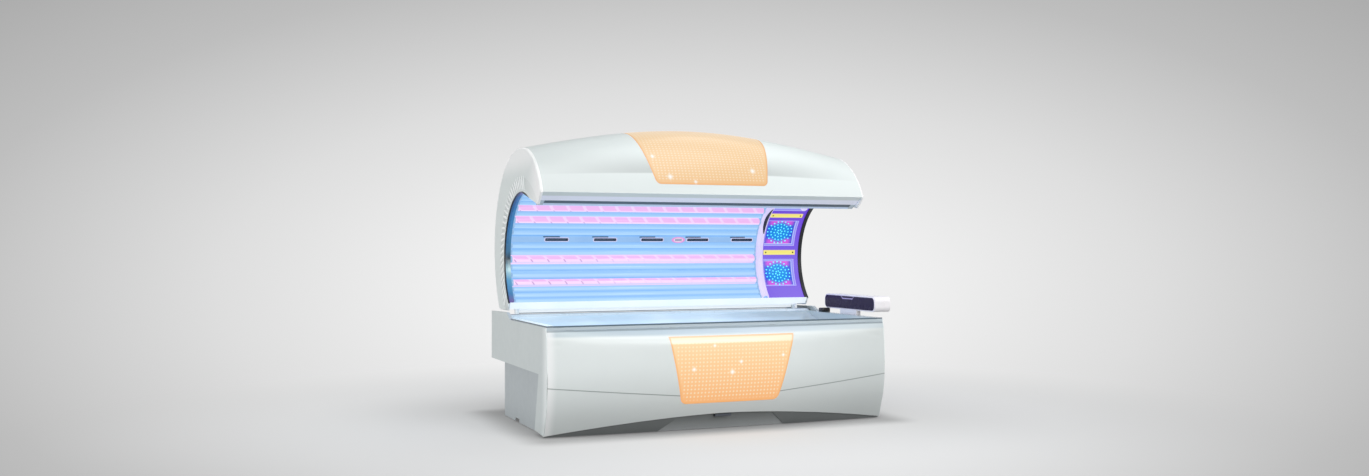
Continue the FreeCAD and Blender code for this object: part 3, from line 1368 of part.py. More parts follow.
facial_radius = CAVITY_RADIUS + 2 * PANEL
facial_panel = ring_sector(CAVITY, facial_radius, facial_radius + PANEL,
                           (cavity_low + 1, size("trim_top_angle")), (panel_start, interior_half))
window_ends = (panel_start + size("facial_window_lead"),
               interior_half - size("facial_window_tail"))
bar_ends = (panel_start + size("facial_bar_lead"), interior_half - size("facial_bar_tail"))
window_swing = size("facial_window_span") / 2
led_radius = facial_radius + size("facial_recess")
led_units = []
bars = []
for number in range(3):
    centre = size("facial_first") + number * size("facial_pitch")
    window = ring_sector(CAVITY, facial_radius - PANEL, facial_radius + 2 * PANEL,
                         (centre - window_swing, centre + window_swing), window_ends)
    facial_panel = facial_panel.cut(window)
    led_units.append(ring_sector(CAVITY, led_radius, REFLECTOR - GAP,
                                 (centre - window_swing - 0.5, centre + window_swing + 0.5),
                                 (panel_start, interior_half)))
    bar_middle = centre + size("facial_pitch") / 2
    half_span = size("facial_bar_span") / 2
    bars.append(ring_sector(CAVITY, facial_radius - PANEL - GAP, facial_radius - GAP,
                            (bar_middle - half_span, bar_middle + half_span), bar_ends))
keep("facial_panel", feature("FacialPanel", facial_panel))
keep("facial_led_units", feature("FacialLedUnits", Part.makeCompound(led_units)))
keep("facial_bars", feature("FacialBars", Part.makeCompound(bars)))

# Air nozzle strip: five rollers with a slot each, and an oval mist outlet.
strip_angle = size("nozzle_strip_angle")
strip_swing = size("nozzle_strip_span") / 2
strip_inner = CAVITY_RADIUS + 2 * PANEL
strip_outer = strip_inner + 3 * PANEL
roller_row = (strip_inner + strip_outer) / 2
radial = Vector(0, math.cos(math.radians(strip_angle)), math.sin(math.radians(strip_angle)))
roller_centre = Vector(0, *CAVITY) + radial * roller_row
roller_radius = size("nozzle_radius")
nozzle_fit = size("nozzle_fit")
nozzle_half = size("nozzle_length") / 2
strip_solid = ring_sector(CAVITY, strip_inner, strip_outer,
                          (strip_angle - strip_swing, strip_angle + strip_swing),
                          (lamp_start, lamp_stop))
nozzle_count = int(size("nozzle_count"))
nozzle_first = lamp_start + size("nozzle_lead")
nozzle_pitch = (lamp_stop - size("nozzle_tail") - nozzle_first) / (nozzle_count - 1)
nozzle_places = [nozzle_first + step * nozzle_pitch for step in range(nozzle_count)]
along = Vector(1, 0, 0)
journal_radius = roller_radius / 4
journal_length = 2 * nozzle_fit + PANEL
for number, place in enumerate(nozzle_places):
    middle = roller_centre + along * place
    pocket = Part.makeCylinder(roller_radius + nozzle_fit, 2 * (nozzle_half + nozzle_fit),
                               middle - along * (nozzle_half + nozzle_fit), along)
    journal_hole = Part.makeCylinder(journal_radius + size("hinge_fit"),
                                     2 * (nozzle_half + journal_length + GAP),
                                     middle - along * (nozzle_half + journal_length + GAP), along)
    strip_solid = strip_solid.cut(pocket).cut(journal_hole)
    roller = Part.makeCylinder(roller_radius, 2 * nozzle_half, middle - along * nozzle_half, along)
    journal = Part.makeCylinder(journal_radius, 2 * (nozzle_half + journal_length),
                                middle - along * (nozzle_half + journal_length), along)
    slot_block = Part.makeBox(2 * nozzle_half - 4 * PANEL, 4 * roller_radius, size("nozzle_slot"))
    slot_block.translate(Vector(-nozzle_half + 2 * PANEL, -2 * roller_radius,
                                -size("nozzle_slot") / 2))
    slot_block.rotate(Vector(0, 0, 0), along, strip_angle)
    slot_block.translate(middle)
    nozzle = roller.fuse(journal).cut(slot_block)
    keep("air_nozzle_%d" % (number + 1), feature("AirNozzle_%d" % (number + 1), nozzle))
legs = []
for number in (0, 1, 3):
    leg_x = (nozzle_places[number] + nozzle_places[number + 1]) / 2
    legs.append(ring_sector(CAVITY, strip_outer, REFLECTOR - GAP, (strip_angle - 1, strip_angle + 1),
                            (leg_x - PANEL, leg_x + PANEL)))
keep("nozzle_strip", feature("NozzleStrip", strip_solid.multiFuse(legs)))

mist_face = Part.Ellipse(Vector(0, 0, 0), size("mist_half_length"), size("mist_half_height"))
mist_plate = Part.Face(Part.Wire([mist_face.toShape()])).extrude(Vector(0, 0, PANEL))
mist_hole = Part.makeBox(size("mist_half_length"), size("nozzle_slot"), 2 * PANEL,
                         Vector(-size("mist_half_length") / 2, -size("nozzle_slot") / 2, -PANEL / 2))
mist = mist_plate.cut(mist_hole)
mist.rotate(Vector(0, 0, 0), along, strip_angle - 90)
mist_place = (nozzle_places[2] + nozzle_places[3]) / 2 + size("mist_offset")
mist_seat = radial * (strip_inner - PANEL - 3 * GAP)
mist.translate(Vector(mist_place, *CAVITY) + mist_seat)
keep("mist_outlet", feature("MistOutlet", mist))

# Welded frame of the canopy: C-shaped ribs, beams along the bed and the two hinge arms.
rib_inner = REFLECTOR + SKIN + GAP
rib_depth = size("frame_rib_depth")
rib_thickness = size("frame_rib_thickness")
arm_x = PLANE + PLATE + GAP
rib_places = (-arm_x - PLATE - rib_thickness, -size("frame_rib_reach") - rib_thickness,
              size("frame_rib_reach"), arm_x + PLATE)
FRAME_RIB_ANGLES = (-34.0, 118.0)
FRAME_BEAM_ANGLES = (-8.0, 45.0, 100.0)
frame_shapes = [ring_sector(CAVITY, rib_inner, rib_inner + rib_depth, FRAME_RIB_ANGLES,
                            (place, place + rib_thickness)) for place in rib_places]
beam_bores = []
beam_radius = size("frame_beam_radius")
for degrees in FRAME_BEAM_ANGLES:
    angle = math.radians(degrees)
    centre = Vector(-arm_x - PLATE, *CAVITY)
    centre += Vector(0, math.cos(angle), math.sin(angle)) * (rib_inner + rib_depth / 2)
    beam_length = 2 * (arm_x + PLATE)
    frame_shapes.append(Part.makeCylinder(beam_radius, beam_length, centre, along))
    beam_bores.append(Part.makeCylinder(beam_radius - size("frame_beam_wall"), beam_length, centre,
                                        along))


def around_cavity(degrees, radius):
    angle = math.radians(degrees)
    return (CAVITY[0] + radius * math.cos(angle), CAVITY[1] + radius * math.sin(angle))


tail_half = size("hinge_pin_radius")
ARM_OUTLINE = [
    (TAIL[0] - tail_half, TAIL[1]),
    (TAIL[0] + tail_half, TAIL[1]),
    (HINGE_Y + BOSS, HINGE_Z),
    around_cavity(-28, rib_inner + rib_depth),
    around_cavity(-10, rib_inner + rib_depth),
    around_cavity(-10, rib_inner + PANEL),
    around_cavity(-22, rib_inner + PANEL),
    around_cavity(-32, rib_inner + PANEL),
    (HINGE_Y - BOSS, HINGE_Z),
]
for side, sign in SIDES:
    start_x = arm_x if sign > 0 else -arm_x - PLATE
    points = [Vector(start_x, *pair) for pair in ARM_OUTLINE]
    arm = polygon_prism(points, (PLATE, 0, 0))
    arm = arm.fuse(Part.makeCylinder(BOSS, PLATE, Vector(start_x, HINGE_Y, HINGE_Z), along))
    arm = arm.fuse(Part.makeCylinder(tail_half, PLATE, Vector(start_x, *TAIL), along))
    arm = arm.cut(Part.makeCylinder(size("hinge_pin_radius") + size("hinge_fit"), PLATE,
                                    Vector(start_x, HINGE_Y, HINGE_Z), along))
    tail_pin = Part.makeCylinder(size("strut_pin_radius"),
                                 STRUT_X + size("strut_eye_width") - arm_x - PLATE / 2,
                                 Vector(sign * (arm_x + PLATE / 2), *TAIL), along * sign)
    frame_shapes += [arm, tail_pin]
frame_solid = frame_shapes[0].multiFuse(frame_shapes[1:])
keep("canopy_frame", feature("CanopyFrame", frame_solid.cut(beam_bores)))

# ---------------------------------------------------------------------------------------------
# Head console on the right end
# ---------------------------------------------------------------------------------------------

console_plane = HALF + size("console_end_gap")
console_x = console_plane + size("console_face_thickness") + GAP
console_low = size("console_bottom")
console_y = size("console_front")
console = doc.addObject("PartDesign::Body", "ConsoleHousing")
outline = sketch_outline(console, "ConsoleOutline", "YZ_Plane", [
    (console_y, console_low),
    (console_y + size("console_width"), console_low),
    (console_y + size("console_width"), console_low + size("console_height")),
    (console_y, console_low + size("console_height")),
])
console_pad = console.newObject("PartDesign::Pad", "ConsolePad")
console_pad.Profile = outline
console_pad.setExpression("Length", "Sizes.console_depth - Sizes.console_face_thickness")
doc.recompute()
long_edges = ["Edge%d" % (index + 1) for index, edge in enumerate(console_pad.Shape.Edges)
              if edge.BoundBox.XLength > size("console_depth") / 2]
corner_round = console.newObject("PartDesign::Fillet", "ConsoleCorners")
corner_round.Base = (console_pad, long_edges)
corner_round.setExpression("Radius", "Sizes.console_corner")
console.Placement.Base = Vector(console_x, 0, 0)
neck_middle = console_y + size("console_width") / 2
neck = box("ConsoleNeck",
           ("Sizes.console_neck_depth", "Sizes.console_neck_width", "Sizes.console_neck_drop"),
           (HALF + GAP, neck_middle - size("console_neck_width") / 2,
            console_low - size("console_neck_drop")))
keep("console_body", fuse("ConsoleBody", [console, neck]))
border = size("console_border")
face_block = Part.makeBox(size("console_face_thickness"), size("console_width") - 2 * border,
                          size("console_height") - 2 * border,
                          Vector(console_plane, console_y + border, console_low + border))
face_corners = [edge for edge in face_block.Edges
                if edge.BoundBox.XLength > size("console_face_thickness") / 2]
keep("console_face", feature("ConsoleFace",
                             face_block.makeFillet(size("console_corner") - border, face_corners)))

# ---------------------------------------------------------------------------------------------
# Recompute, check, centre over the origin and write
# ---------------------------------------------------------------------------------------------

doc.recompute()
for thing in doc.Objects:
    if any(word in thing.State for word in ("Invalid", "Error")):
        raise RuntimeError("failed object: " + thing.Label)

whole = App.BoundBox()
for thing in subparts.values():
    whole.add(thing.Shape.optimalBoundingBox(True, False))
shift = App.Placement(Vector(-whole.Center.x, -whole.Center.y, -whole.ZMin), App.Rotation())
for thing in subparts.values():
    thing.Placement = shift.multiply(thing.Placement)
doc.recompute()

os.makedirs("parts", exist_ok=True)
for node, thing in subparts.items():
    shape = thing.Shape
    if shape.isNull() or not shape.isValid():
        raise RuntimeError("bad shape: " + node)
    shape.exportStep("parts/" + node + ".step")
print("%d sub-parts, shift %.4f %.4f %.4f" % (len(subparts), *shift.Base))
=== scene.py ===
# %% [markdown]
# # A clamshell tanning bed
# The bed has a white tub with a clear, dished bench, and a raised canopy whose inside is lined with
# lamps. Its construction comes ready made, one object for each piece, at its real size. This lesson
# gives every piece its finish, and adds the lamps, lights and small trim that make it look real.

# %% Load the construction
import math

import bmesh
import bpy
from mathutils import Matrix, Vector


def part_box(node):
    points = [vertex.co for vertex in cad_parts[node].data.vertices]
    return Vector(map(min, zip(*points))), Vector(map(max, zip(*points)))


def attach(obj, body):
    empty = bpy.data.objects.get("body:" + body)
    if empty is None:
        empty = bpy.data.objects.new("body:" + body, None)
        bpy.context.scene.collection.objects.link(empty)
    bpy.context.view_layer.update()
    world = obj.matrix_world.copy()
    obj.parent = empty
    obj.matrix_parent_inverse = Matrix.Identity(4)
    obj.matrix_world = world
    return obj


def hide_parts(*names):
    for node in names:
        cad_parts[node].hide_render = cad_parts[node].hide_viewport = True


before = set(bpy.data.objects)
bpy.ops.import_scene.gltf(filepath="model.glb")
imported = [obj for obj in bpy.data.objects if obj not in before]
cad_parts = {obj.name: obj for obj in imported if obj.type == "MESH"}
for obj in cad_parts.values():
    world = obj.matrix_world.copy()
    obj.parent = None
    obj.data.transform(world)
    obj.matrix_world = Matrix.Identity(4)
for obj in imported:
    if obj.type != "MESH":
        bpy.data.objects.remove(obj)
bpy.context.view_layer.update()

print("pieces of the construction:", len(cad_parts))

# %% [markdown]
# ## Where things are
# Most places inside the canopy are easiest to give as an angle and a radius about the axis of its
# hollow, which runs along the bed. The two black rims at the ends of the hollow are arcs about the
# same axis, so their box tells where it is.

# %% The axis of the canopy's hollow
rim_low, rim_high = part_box("canopy_rims")
RIM_RADIUS = 0.4557
MIDDLE = (rim_low.x + rim_high.x) / 2
AXIS_Y = rim_high.y - RIM_RADIUS
AXIS_Z = rim_high.z - RIM_RADIUS


def around(x, degrees, radius):
    """Point at x along the bed and at an angle and radius about the hollow's axis."""
    angle = math.radians(degrees)
    return Vector((x, AXIS_Y + radius * math.cos(angle), AXIS_Z + radius * math.sin(angle)))


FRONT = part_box("bench_acrylic")[0].y - 0.040
CAP_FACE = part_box("canopy_end_right")[1].x - MIDDLE
print("axis of the hollow at y %.4f, z %.4f; middle of the bed at x %.4f" % (AXIS_Y, AXIS_Z, MIDDLE))

# %% [markdown]
# ## Colours
# A colour on a screen is written with two hexadecimal digits for each of red, green and blue.
# Blender's shaders want the same colour as an amount of light, so a small function turns one into
# the other.

# %% Turning a written colour into light
def light_of(written):
    """Linear colour of a hexadecimal screen colour."""
    linear = []
    for start in (0, 2, 4):
        share = int(written[start:start + 2], 16) / 255
        linear.append(share / 12.92 if share <= 0.04045 else ((share + 0.055) / 1.055) ** 2.4)
    return tuple(linear)


def paint(colour):
    """Opaque colour for a node's socket, from a written colour or from an amount of light."""
    return (*(light_of(colour) if isinstance(colour, str) else colour), 1.0)


# %% [markdown]
# ## Helpers for node trees
# Materials and Geometry Nodes are both trees of nodes. One helper adds a node and fills its inputs,
# and accepts either a value or another node's output, so that a tree reads like a short recipe.

# %% Building node trees
def add(tree, kind, inputs=None, **settings):
    """Add a node; each input takes a value, or the output of another node."""
    node = tree.nodes.new(kind)
    for key, value in settings.items():
        setattr(node, key, value)
    for key, value in (inputs or {}).items():
        if isinstance(value, bpy.types.NodeSocket):
            tree.links.new(value, node.inputs[key])
        else:
            node.inputs[key].default_value = value
    return node


def calc(tree, operation, first, second=0.0, third=0.0):
    """One step of arithmetic on numbers."""
    node = add(tree, "ShaderNodeMath", {0: first, 1: second, 2: third}, operation=operation)
    return node.outputs[0]


def ramp(tree, share, stops):
    """Colours along a share from 0 to 1."""
    node = add(tree, "ShaderNodeValToRGB", {"Fac": share})
    while len(node.color_ramp.elements) < len(stops):
        node.color_ramp.elements.new(0.5)
    for element, (place, colour) in zip(node.color_ramp.elements, stops):
        element.position = place
        element.color = paint(colour)
    return node.outputs["Color"]


def mixed(tree, share, first, second):
    """Two colours mixed by a share; each is a written colour, or comes from another node."""
    node = tree.nodes.new("ShaderNodeMix")
    node.data_type = "RGBA"
    for socket, value in zip((node.inputs[0], node.inputs[6], node.inputs[7]), (share, first, second)):
        if isinstance(value, bpy.types.NodeSocket):
            tree.links.new(value, socket)
        else:
            socket.default_value = paint(value) if isinstance(value, str) else value
    return node.outputs[2]


def stepped(tree, value, low, high):
    """Smooth step from 0 below low to 1 above high."""
    node = add(tree, "ShaderNodeMapRange",
               {"Value": value, "From Min": low, "From Max": high}, interpolation_type="SMOOTHSTEP")
    return node.outputs["Result"]


# %% [markdown]
# A pattern is worked out from numbers, such as how far a point is from a line. These short helpers
# name the steps that come up again and again.

# %% Arithmetic on places
def minus(tree, first, second):
    """First number less the second."""
    return calc(tree, "SUBTRACT", first, second)


def times(tree, first, second):
    """Product of two numbers."""
    return calc(tree, "MULTIPLY", first, second)


def apart(tree, first, second):
    """How far two numbers are apart."""
    return calc(tree, "ABSOLUTE", minus(tree, first, second))


def falling(tree, value, low, high):
    """Smooth step from 1 below low to 0 above high."""
    return minus(tree, 1.0, stepped(tree, value, low, high))


def between(tree, value, rise, fall):
    """Share that is 1 between a smooth rise and a smooth fall."""
    return times(tree, stepped(tree, value, *rise), falling(tree, value, *fall))


def length_of(tree, first, second):
    """Length of an arrow whose two parts are given."""
    return calc(tree, "SQRT", calc(tree, "ADD", times(tree, first, first), times(tree, second, second)))


def place_of(tree):
    """The three parts of a point on the piece."""
    return add(tree, "ShaderNodeSeparateXYZ",
               {"Vector": add(tree, "ShaderNodeTexCoord").outputs["Object"]}).outputs


def noise(tree, scale, detail):
    """Noise over the piece, as a share from 0 to 1."""
    place = add(tree, "ShaderNodeTexCoord").outputs["Object"]
    return add(tree, "ShaderNodeTexNoise",
               {"Vector": place, "Scale": scale, "Detail": detail}).outputs["Fac"]


def drifting(tree, low, high, scale):
    """Colour that drifts between two tones."""
    return ramp(tree, noise(tree, scale, 3.0), [(0.3, low), (0.7, high)])


def dimmed(tree, colour, share, amount):
    """Colour made darker by an amount where the share is 1."""
    return mixed(tree, times(tree, share, amount), colour, "000000")


def skin(tree, scale, depth, strength):
    """Fine unevenness of a surface."""
    bump = add(tree, "ShaderNodeBump",
               {"Height": noise(tree, scale, 2.0), "Distance": depth, "Strength": strength})
    return bump.outputs["Normal"]


def blank_material(name):
    """New material and its empty tree."""
    material = bpy.data.materials.new(name)
    material.use_nodes = True
    material.node_tree.nodes.clear()
    return material, material.node_tree


def closed(material, shader):
    """Give a material's tree its output."""
    add(material.node_tree, "ShaderNodeOutputMaterial", {"Surface": shader.outputs[0]})
    return material


# %% [markdown]
# ## Moulded and painted surfaces
# Nearly every outer piece is moulded plastic or painted sheet. Neither is perfectly even: the colour
# drifts a little, the gloss changes from place to place, and the skin has a fine texture. Three
# noises at different scales give these, and one function makes all the plain finishes. The very
# glossy covers have hardly any change of gloss, because it would show as blotches.

# %% A function for plain finishes
COLOUR_DRIFT = 3.5
GLOSS_DRIFT = 22.0
GRAIN_SCALE = 900.0


def finish_of(name, colour, roughness, mottle=0.03, grain=0.00015, metal=0.0, coat=0.0,
              specular=0.5, patchy=0.15, shade=None):
    """Moulded, painted or metal surface with uneven colour, gloss and skin."""
    material, tree = blank_material(name)
    base = light_of(colour)
    dark = [part * (1 - mottle) for part in base]
    bright = [min(part * (1 + mottle), 1.0) for part in base]
    tint = drifting(tree, dark, bright, COLOUR_DRIFT)
    if shade:
        tint = shade(tree, tint)
    gloss = add(tree, "ShaderNodeMapRange",
                {"Value": noise(tree, GLOSS_DRIFT, 4.0), "From Min": 0.3, "From Max": 0.7,
                 "To Min": roughness * (1 - patchy), "To Max": min(roughness * (1 + patchy), 1.0)})
    shader = add(tree, "ShaderNodeBsdfPrincipled",
                 {"Base Color": tint, "Roughness": gloss.outputs["Result"],
                  "Normal": skin(tree, GRAIN_SCALE, grain, 0.5), "Metallic": metal,
                  "Coat Weight": coat, "Specular IOR Level": specular})
    return closed(material, shader)


# %% [markdown]
# The front cover and the brow of the canopy are one colour each, but the light shows their form: a
# rolled edge, a soft fold and a fine seam. A shade function paints the light and shade of the edge
# and the fold, and draws the seam, into a finish.

# %% Painted light and shade on the front and the brow
# Places of the front cover's painted shade and painted corner highlight, and of its seam.
FRONT_ROLL = (0.592, 0.612)
FRONT_LOW_SHADE = (0.02, 0.46)
FRONT_CORNER_HIGHLIGHT = (1.085, 1.140)
FRONT_TOP_SHADE_LINE = (0.6300, 0.6320)
SEAM_REACH = (0.325, 1.150)
SEAM_HEIGHT = (0.232, 0.304)
SEAM_WIDTH = (0.0014, 0.0040)


def front_painted_light(tree, colour):
    """Front cover: painted shade on its rolled top edge, towards the floor, under the top gap and
    towards the right end, a painted highlight round its left corner, and a seam.
    """
    parts = place_of(tree)
    height = parts["Z"]
    # painted shade: a cooler, darker tone over the rolled top edge, darkest at the left
    rolled = stepped(tree, height, *FRONT_ROLL)
    right = stepped(tree, parts["X"], MIDDLE - 0.9, MIDDLE + 0.5)
    rolled_edge_shade = mixed(tree, right, "B6C4CB", "CEDAE0")
    colour = mixed(tree, times(tree, rolled, 0.80), colour, rolled_edge_shade)
    # painted shade towards the floor
    colour = dimmed(tree, colour, falling(tree, height, *FRONT_LOW_SHADE), 0.16)
    # painted highlight round the left front corner
    corner = stepped(tree, minus(tree, MIDDLE, parts["X"]), *FRONT_CORNER_HIGHLIGHT)
    colour = mixed(tree, times(tree, corner, 0.65), colour, "FFFFFF")
    # painted shade line along the top edge, under the gap to the bench profile
    top = stepped(tree, height, *FRONT_TOP_SHADE_LINE)
    colour = mixed(tree, times(tree, top, 0.65), colour, "6F7C86")
    # painted shade towards the right end
    colour = dimmed(tree, colour, stepped(tree, parts["X"], MIDDLE + 0.2, MIDDLE + 1.1), 0.13)
    ends = zip(("From Min", "From Max", "To Min", "To Max"), SEAM_REACH + SEAM_HEIGHT)
    seam_height = add(tree, "ShaderNodeMapRange",
                      {"Value": apart(tree, parts["X"], MIDDLE), **dict(ends)}).outputs["Result"]
    seam = falling(tree, apart(tree, height, seam_height), *SEAM_WIDTH)
    return mixed(tree, times(tree, seam, 0.75), colour, "76807F")


# Where the painted shade above the brow's fold lies.
FOLD_SAG = -0.022
FOLD_HEIGHT = 1.603
FOLD_EDGE = (-0.004, 0.008)
FOLD_FADE = (0.0, 0.16)
FOLD_REACH = (0.35, 1.25)


def brow_painted_shade(tree, colour):
    """Canopy front: painted shade just above the fold along its brow, darkest towards the middle, and
    painted shade towards the left end.
    """
    parts = place_of(tree)
    across = minus(tree, parts["X"], MIDDLE)
    sideways = calc(tree, "ABSOLUTE", across)
    fold = calc(tree, "MULTIPLY_ADD", calc(tree, "POWER", sideways, 2.0), FOLD_SAG, FOLD_HEIGHT)
    above = minus(tree, parts["Z"], fold)
    # painted shade just above the fold
    share = between(tree, above, FOLD_EDGE, FOLD_FADE)
    inner = falling(tree, sideways, *FOLD_REACH)
    colour = dimmed(tree, colour, times(tree, share, inner), 0.29)
    # painted shade towards the left end
    return dimmed(tree, colour, falling(tree, across, -1.1, 0.9), 0.10)


# %% Painted light on the sides and the kick plate
def side_painted_highlight(tree, colour):
    """Side covers: a painted highlight where they turn round the front corner."""
    corner = falling(tree, place_of(tree)["Y"], FRONT + 0.01, FRONT + 0.15)
    return mixed(tree, times(tree, corner, 0.85), colour, "F4F9F9")


RECESS_LEAN = -1.28
RECESS_HALF = 0.439
RECESS_HEIGHT = 0.12


def kick_painted_light(tree, colour):
    """Kick plate: a wide foot recess in the middle, with painted light from the floor that is strongest
    at its foot.
    """
    parts = place_of(tree)
    half = calc(tree, "MULTIPLY_ADD", parts["Z"], RECESS_LEAN, RECESS_HALF)
    inside = stepped(tree, minus(tree, half, apart(tree, parts["X"], MIDDLE)), -0.006, 0.006)
    # painted light from the floor in the recess, brightest at the bottom
    recess = ramp(tree, calc(tree, "DIVIDE", parts["Z"], RECESS_HEIGHT),
                  [(0.0, "C6CACB"), (0.22, "AEB2B3"), (0.55, "8B8F8F"), (1.0, "707474")])
    return mixed(tree, inside, colour, recess)


# %% [markdown]
# Round the hollow of the canopy, patterns follow the hollow's own angle and radius. The polished
# strip at the left end of the lamps has a painted reflection of the room, from blue lamps to a pale
# floor.

# %% Painted light and reflections round the hollow
def degrees_of(tree):
    """Angle about the axis of the hollow."""
    parts = place_of(tree)
    angle = calc(tree, "ARCTAN2", minus(tree, parts["Z"], AXIS_Z), minus(tree, parts["Y"], AXIS_Y))
    return calc(tree, "DEGREES", angle)


def radius_of(tree):
    """Distance from the axis of the hollow."""
    parts = place_of(tree)
    return length_of(tree, minus(tree, parts["Y"], AXIS_Y), minus(tree, parts["Z"], AXIS_Z))


HOLLOW_SPAN = 130.0
# Colours of the painted reflection, from the lower edge of the hollow to its top.
PAINTED_REFLECTION_STOPS = [(0.0, "7A6AA6"), (0.06, "4E86B8"), (0.16, "63A6CE"), (0.235, "B4DCE2"),
                (0.275, "4F7C8C"), (0.31, "22394A"), (0.36, "3E7499"), (0.55, "3B83BE"),
                (0.80, "3873AE"), (0.93, "2F5688"), (0.98, "8A6F9C")]


def painted_reflection_strip(tree):
    """Painted reflection of the room in the polished strip at the end of the lamps."""
    share = calc(tree, "DIVIDE", calc(tree, "ADD", degrees_of(tree), 40.0), HOLLOW_SPAN)
    return ramp(tree, share, PAINTED_REFLECTION_STOPS)


# Reaches of the end caps' painted highlights, of the painted shade between the ribs, and of the black
# rim round the hollow.
CAP_EDGE_HIGHLIGHT = ((0.0002, 0.0015), (0.0075, 0.0090))
RIB_SHADE_BAND = ((0.4560, 0.4620), (0.5220, 0.5300))
CAP_CROWN_HIGHLIGHT = (1.56, 1.72)
LAST_RIB = (98.0, 106.0)
WALL_RADIUS = (0.4342, 0.4350)
RIM_DEPTH = (0.0100, 0.0120)


def cap_painted_light_and_rim(tree, colour):
    """End caps: painted highlights round their outer edge, nose and crown, painted shade between the
    ribs, and round the hollow a black rim, with a painted reflection past it on the left.
    """
    parts = place_of(tree)
    depth = minus(tree, CAP_FACE, apart(tree, parts["X"], MIDDLE))
    # painted highlight round the outer edge
    edge = between(tree, depth, *CAP_EDGE_HIGHLIGHT)
    colour = mixed(tree, times(tree, edge, 0.8), colour, "FFFFFF")
    # painted highlight on the nose and the crown
    nose = falling(tree, parts["Y"], FRONT + 0.26, FRONT + 0.62)
    crown = times(tree, stepped(tree, parts["Z"], *CAP_CROWN_HIGHLIGHT), 0.8)
    colour = mixed(tree, calc(tree, "MAXIMUM", nose, crown), colour, "FFFFFF")
    radius = radius_of(tree)
    # painted shade between the ribs, fading past the last rib
    ribbed = calc(tree, "MULTIPLY_ADD", stepped(tree, degrees_of(tree), *LAST_RIB), -0.65, 1.0)
    band = times(tree, between(tree, radius, *RIB_SHADE_BAND), ribbed)
    colour = dimmed(tree, colour, band, 0.17)
    # black rim round the hollow, and on the left a painted reflection past it
    right = calc(tree, "GREATER_THAN", parts["X"], MIDDLE)
    black = calc(tree, "MAXIMUM", falling(tree, depth, *RIM_DEPTH), right)
    strip = mixed(tree, black, painted_reflection_strip(tree), "10151C")
    return mixed(tree, falling(tree, radius, *WALL_RADIUS), colour, strip)


def rim_painted_reflection(tree, colour):
    """Rims of the hollow: black on the right, and on the left a painted reflection like the strip beside
    it.
    """
    left = calc(tree, "LESS_THAN", place_of(tree)["X"], MIDDLE)
    return mixed(tree, left, colour, painted_reflection_strip(tree))


# %% [markdown]
# Some pieces change colour at a fixed height, and several of them have a painted glow of the lamps
# beside them or a painted shade line.

# %% Colours, painted glow and painted shade that change at a height
# Heights of painted shade on the lip, in the groove and along the deck, and of two-tone paint on the
# steel.
UNDERSIDE_LIP = (1.4440, 1.4500)
RAIL_GROOVE = (1.4020, 1.4060)
SHADE_LINE_HEIGHT = (0.6800, 0.6825)
SHADE_LINE_BACK = (0.4750, 0.4800)
BRACKET_CHANGE = (0.640, 0.650)
ARM_CHANGE = (0.780, 0.800)


def underside_painted_glow(tree):
    """Underside of the brow with a painted glow of the lamps: a grey lip in painted shade above a paler
    slope.
    """
    return mixed(tree, stepped(tree, place_of(tree)["Z"], *UNDERSIDE_LIP), "DADCE8", "C2C9C8")


def rail_painted_light(tree):
    """Handle rail with a painted glow of the lamps: painted shade in its groove above a pale lower edge.
    """
    return mixed(tree, stepped(tree, place_of(tree)["Z"], *RAIL_GROOVE), "B8C8E0", "46535F")


def deck_painted_shade(tree, colour):
    """Deck behind the bench: a painted shade line along the foot of its upstand."""
    parts = place_of(tree)
    shade_line = times(tree, stepped(tree, parts["Z"], *SHADE_LINE_HEIGHT), falling(tree, parts["Y"], *SHADE_LINE_BACK))
    return mixed(tree, times(tree, shade_line, 0.9), colour, "56697A")


def bracket_shade(tree, colour):
    """Hinge brackets: dark steel below the deck and white where they stand above it."""
    return mixed(tree, stepped(tree, place_of(tree)["Z"], *BRACKET_CHANGE), colour, "EEF4F7")


def arm_painted_glow(tree):
    """Canopy frame with a painted glow: dark steel inside the canopy, white hinge arms where they come
    out of it.
    """
    steel = drifting(tree, "44474A", "505356", 9.0)
    return mixed(tree, falling(tree, place_of(tree)["Z"], *ARM_CHANGE), steel, "F2F7F9")


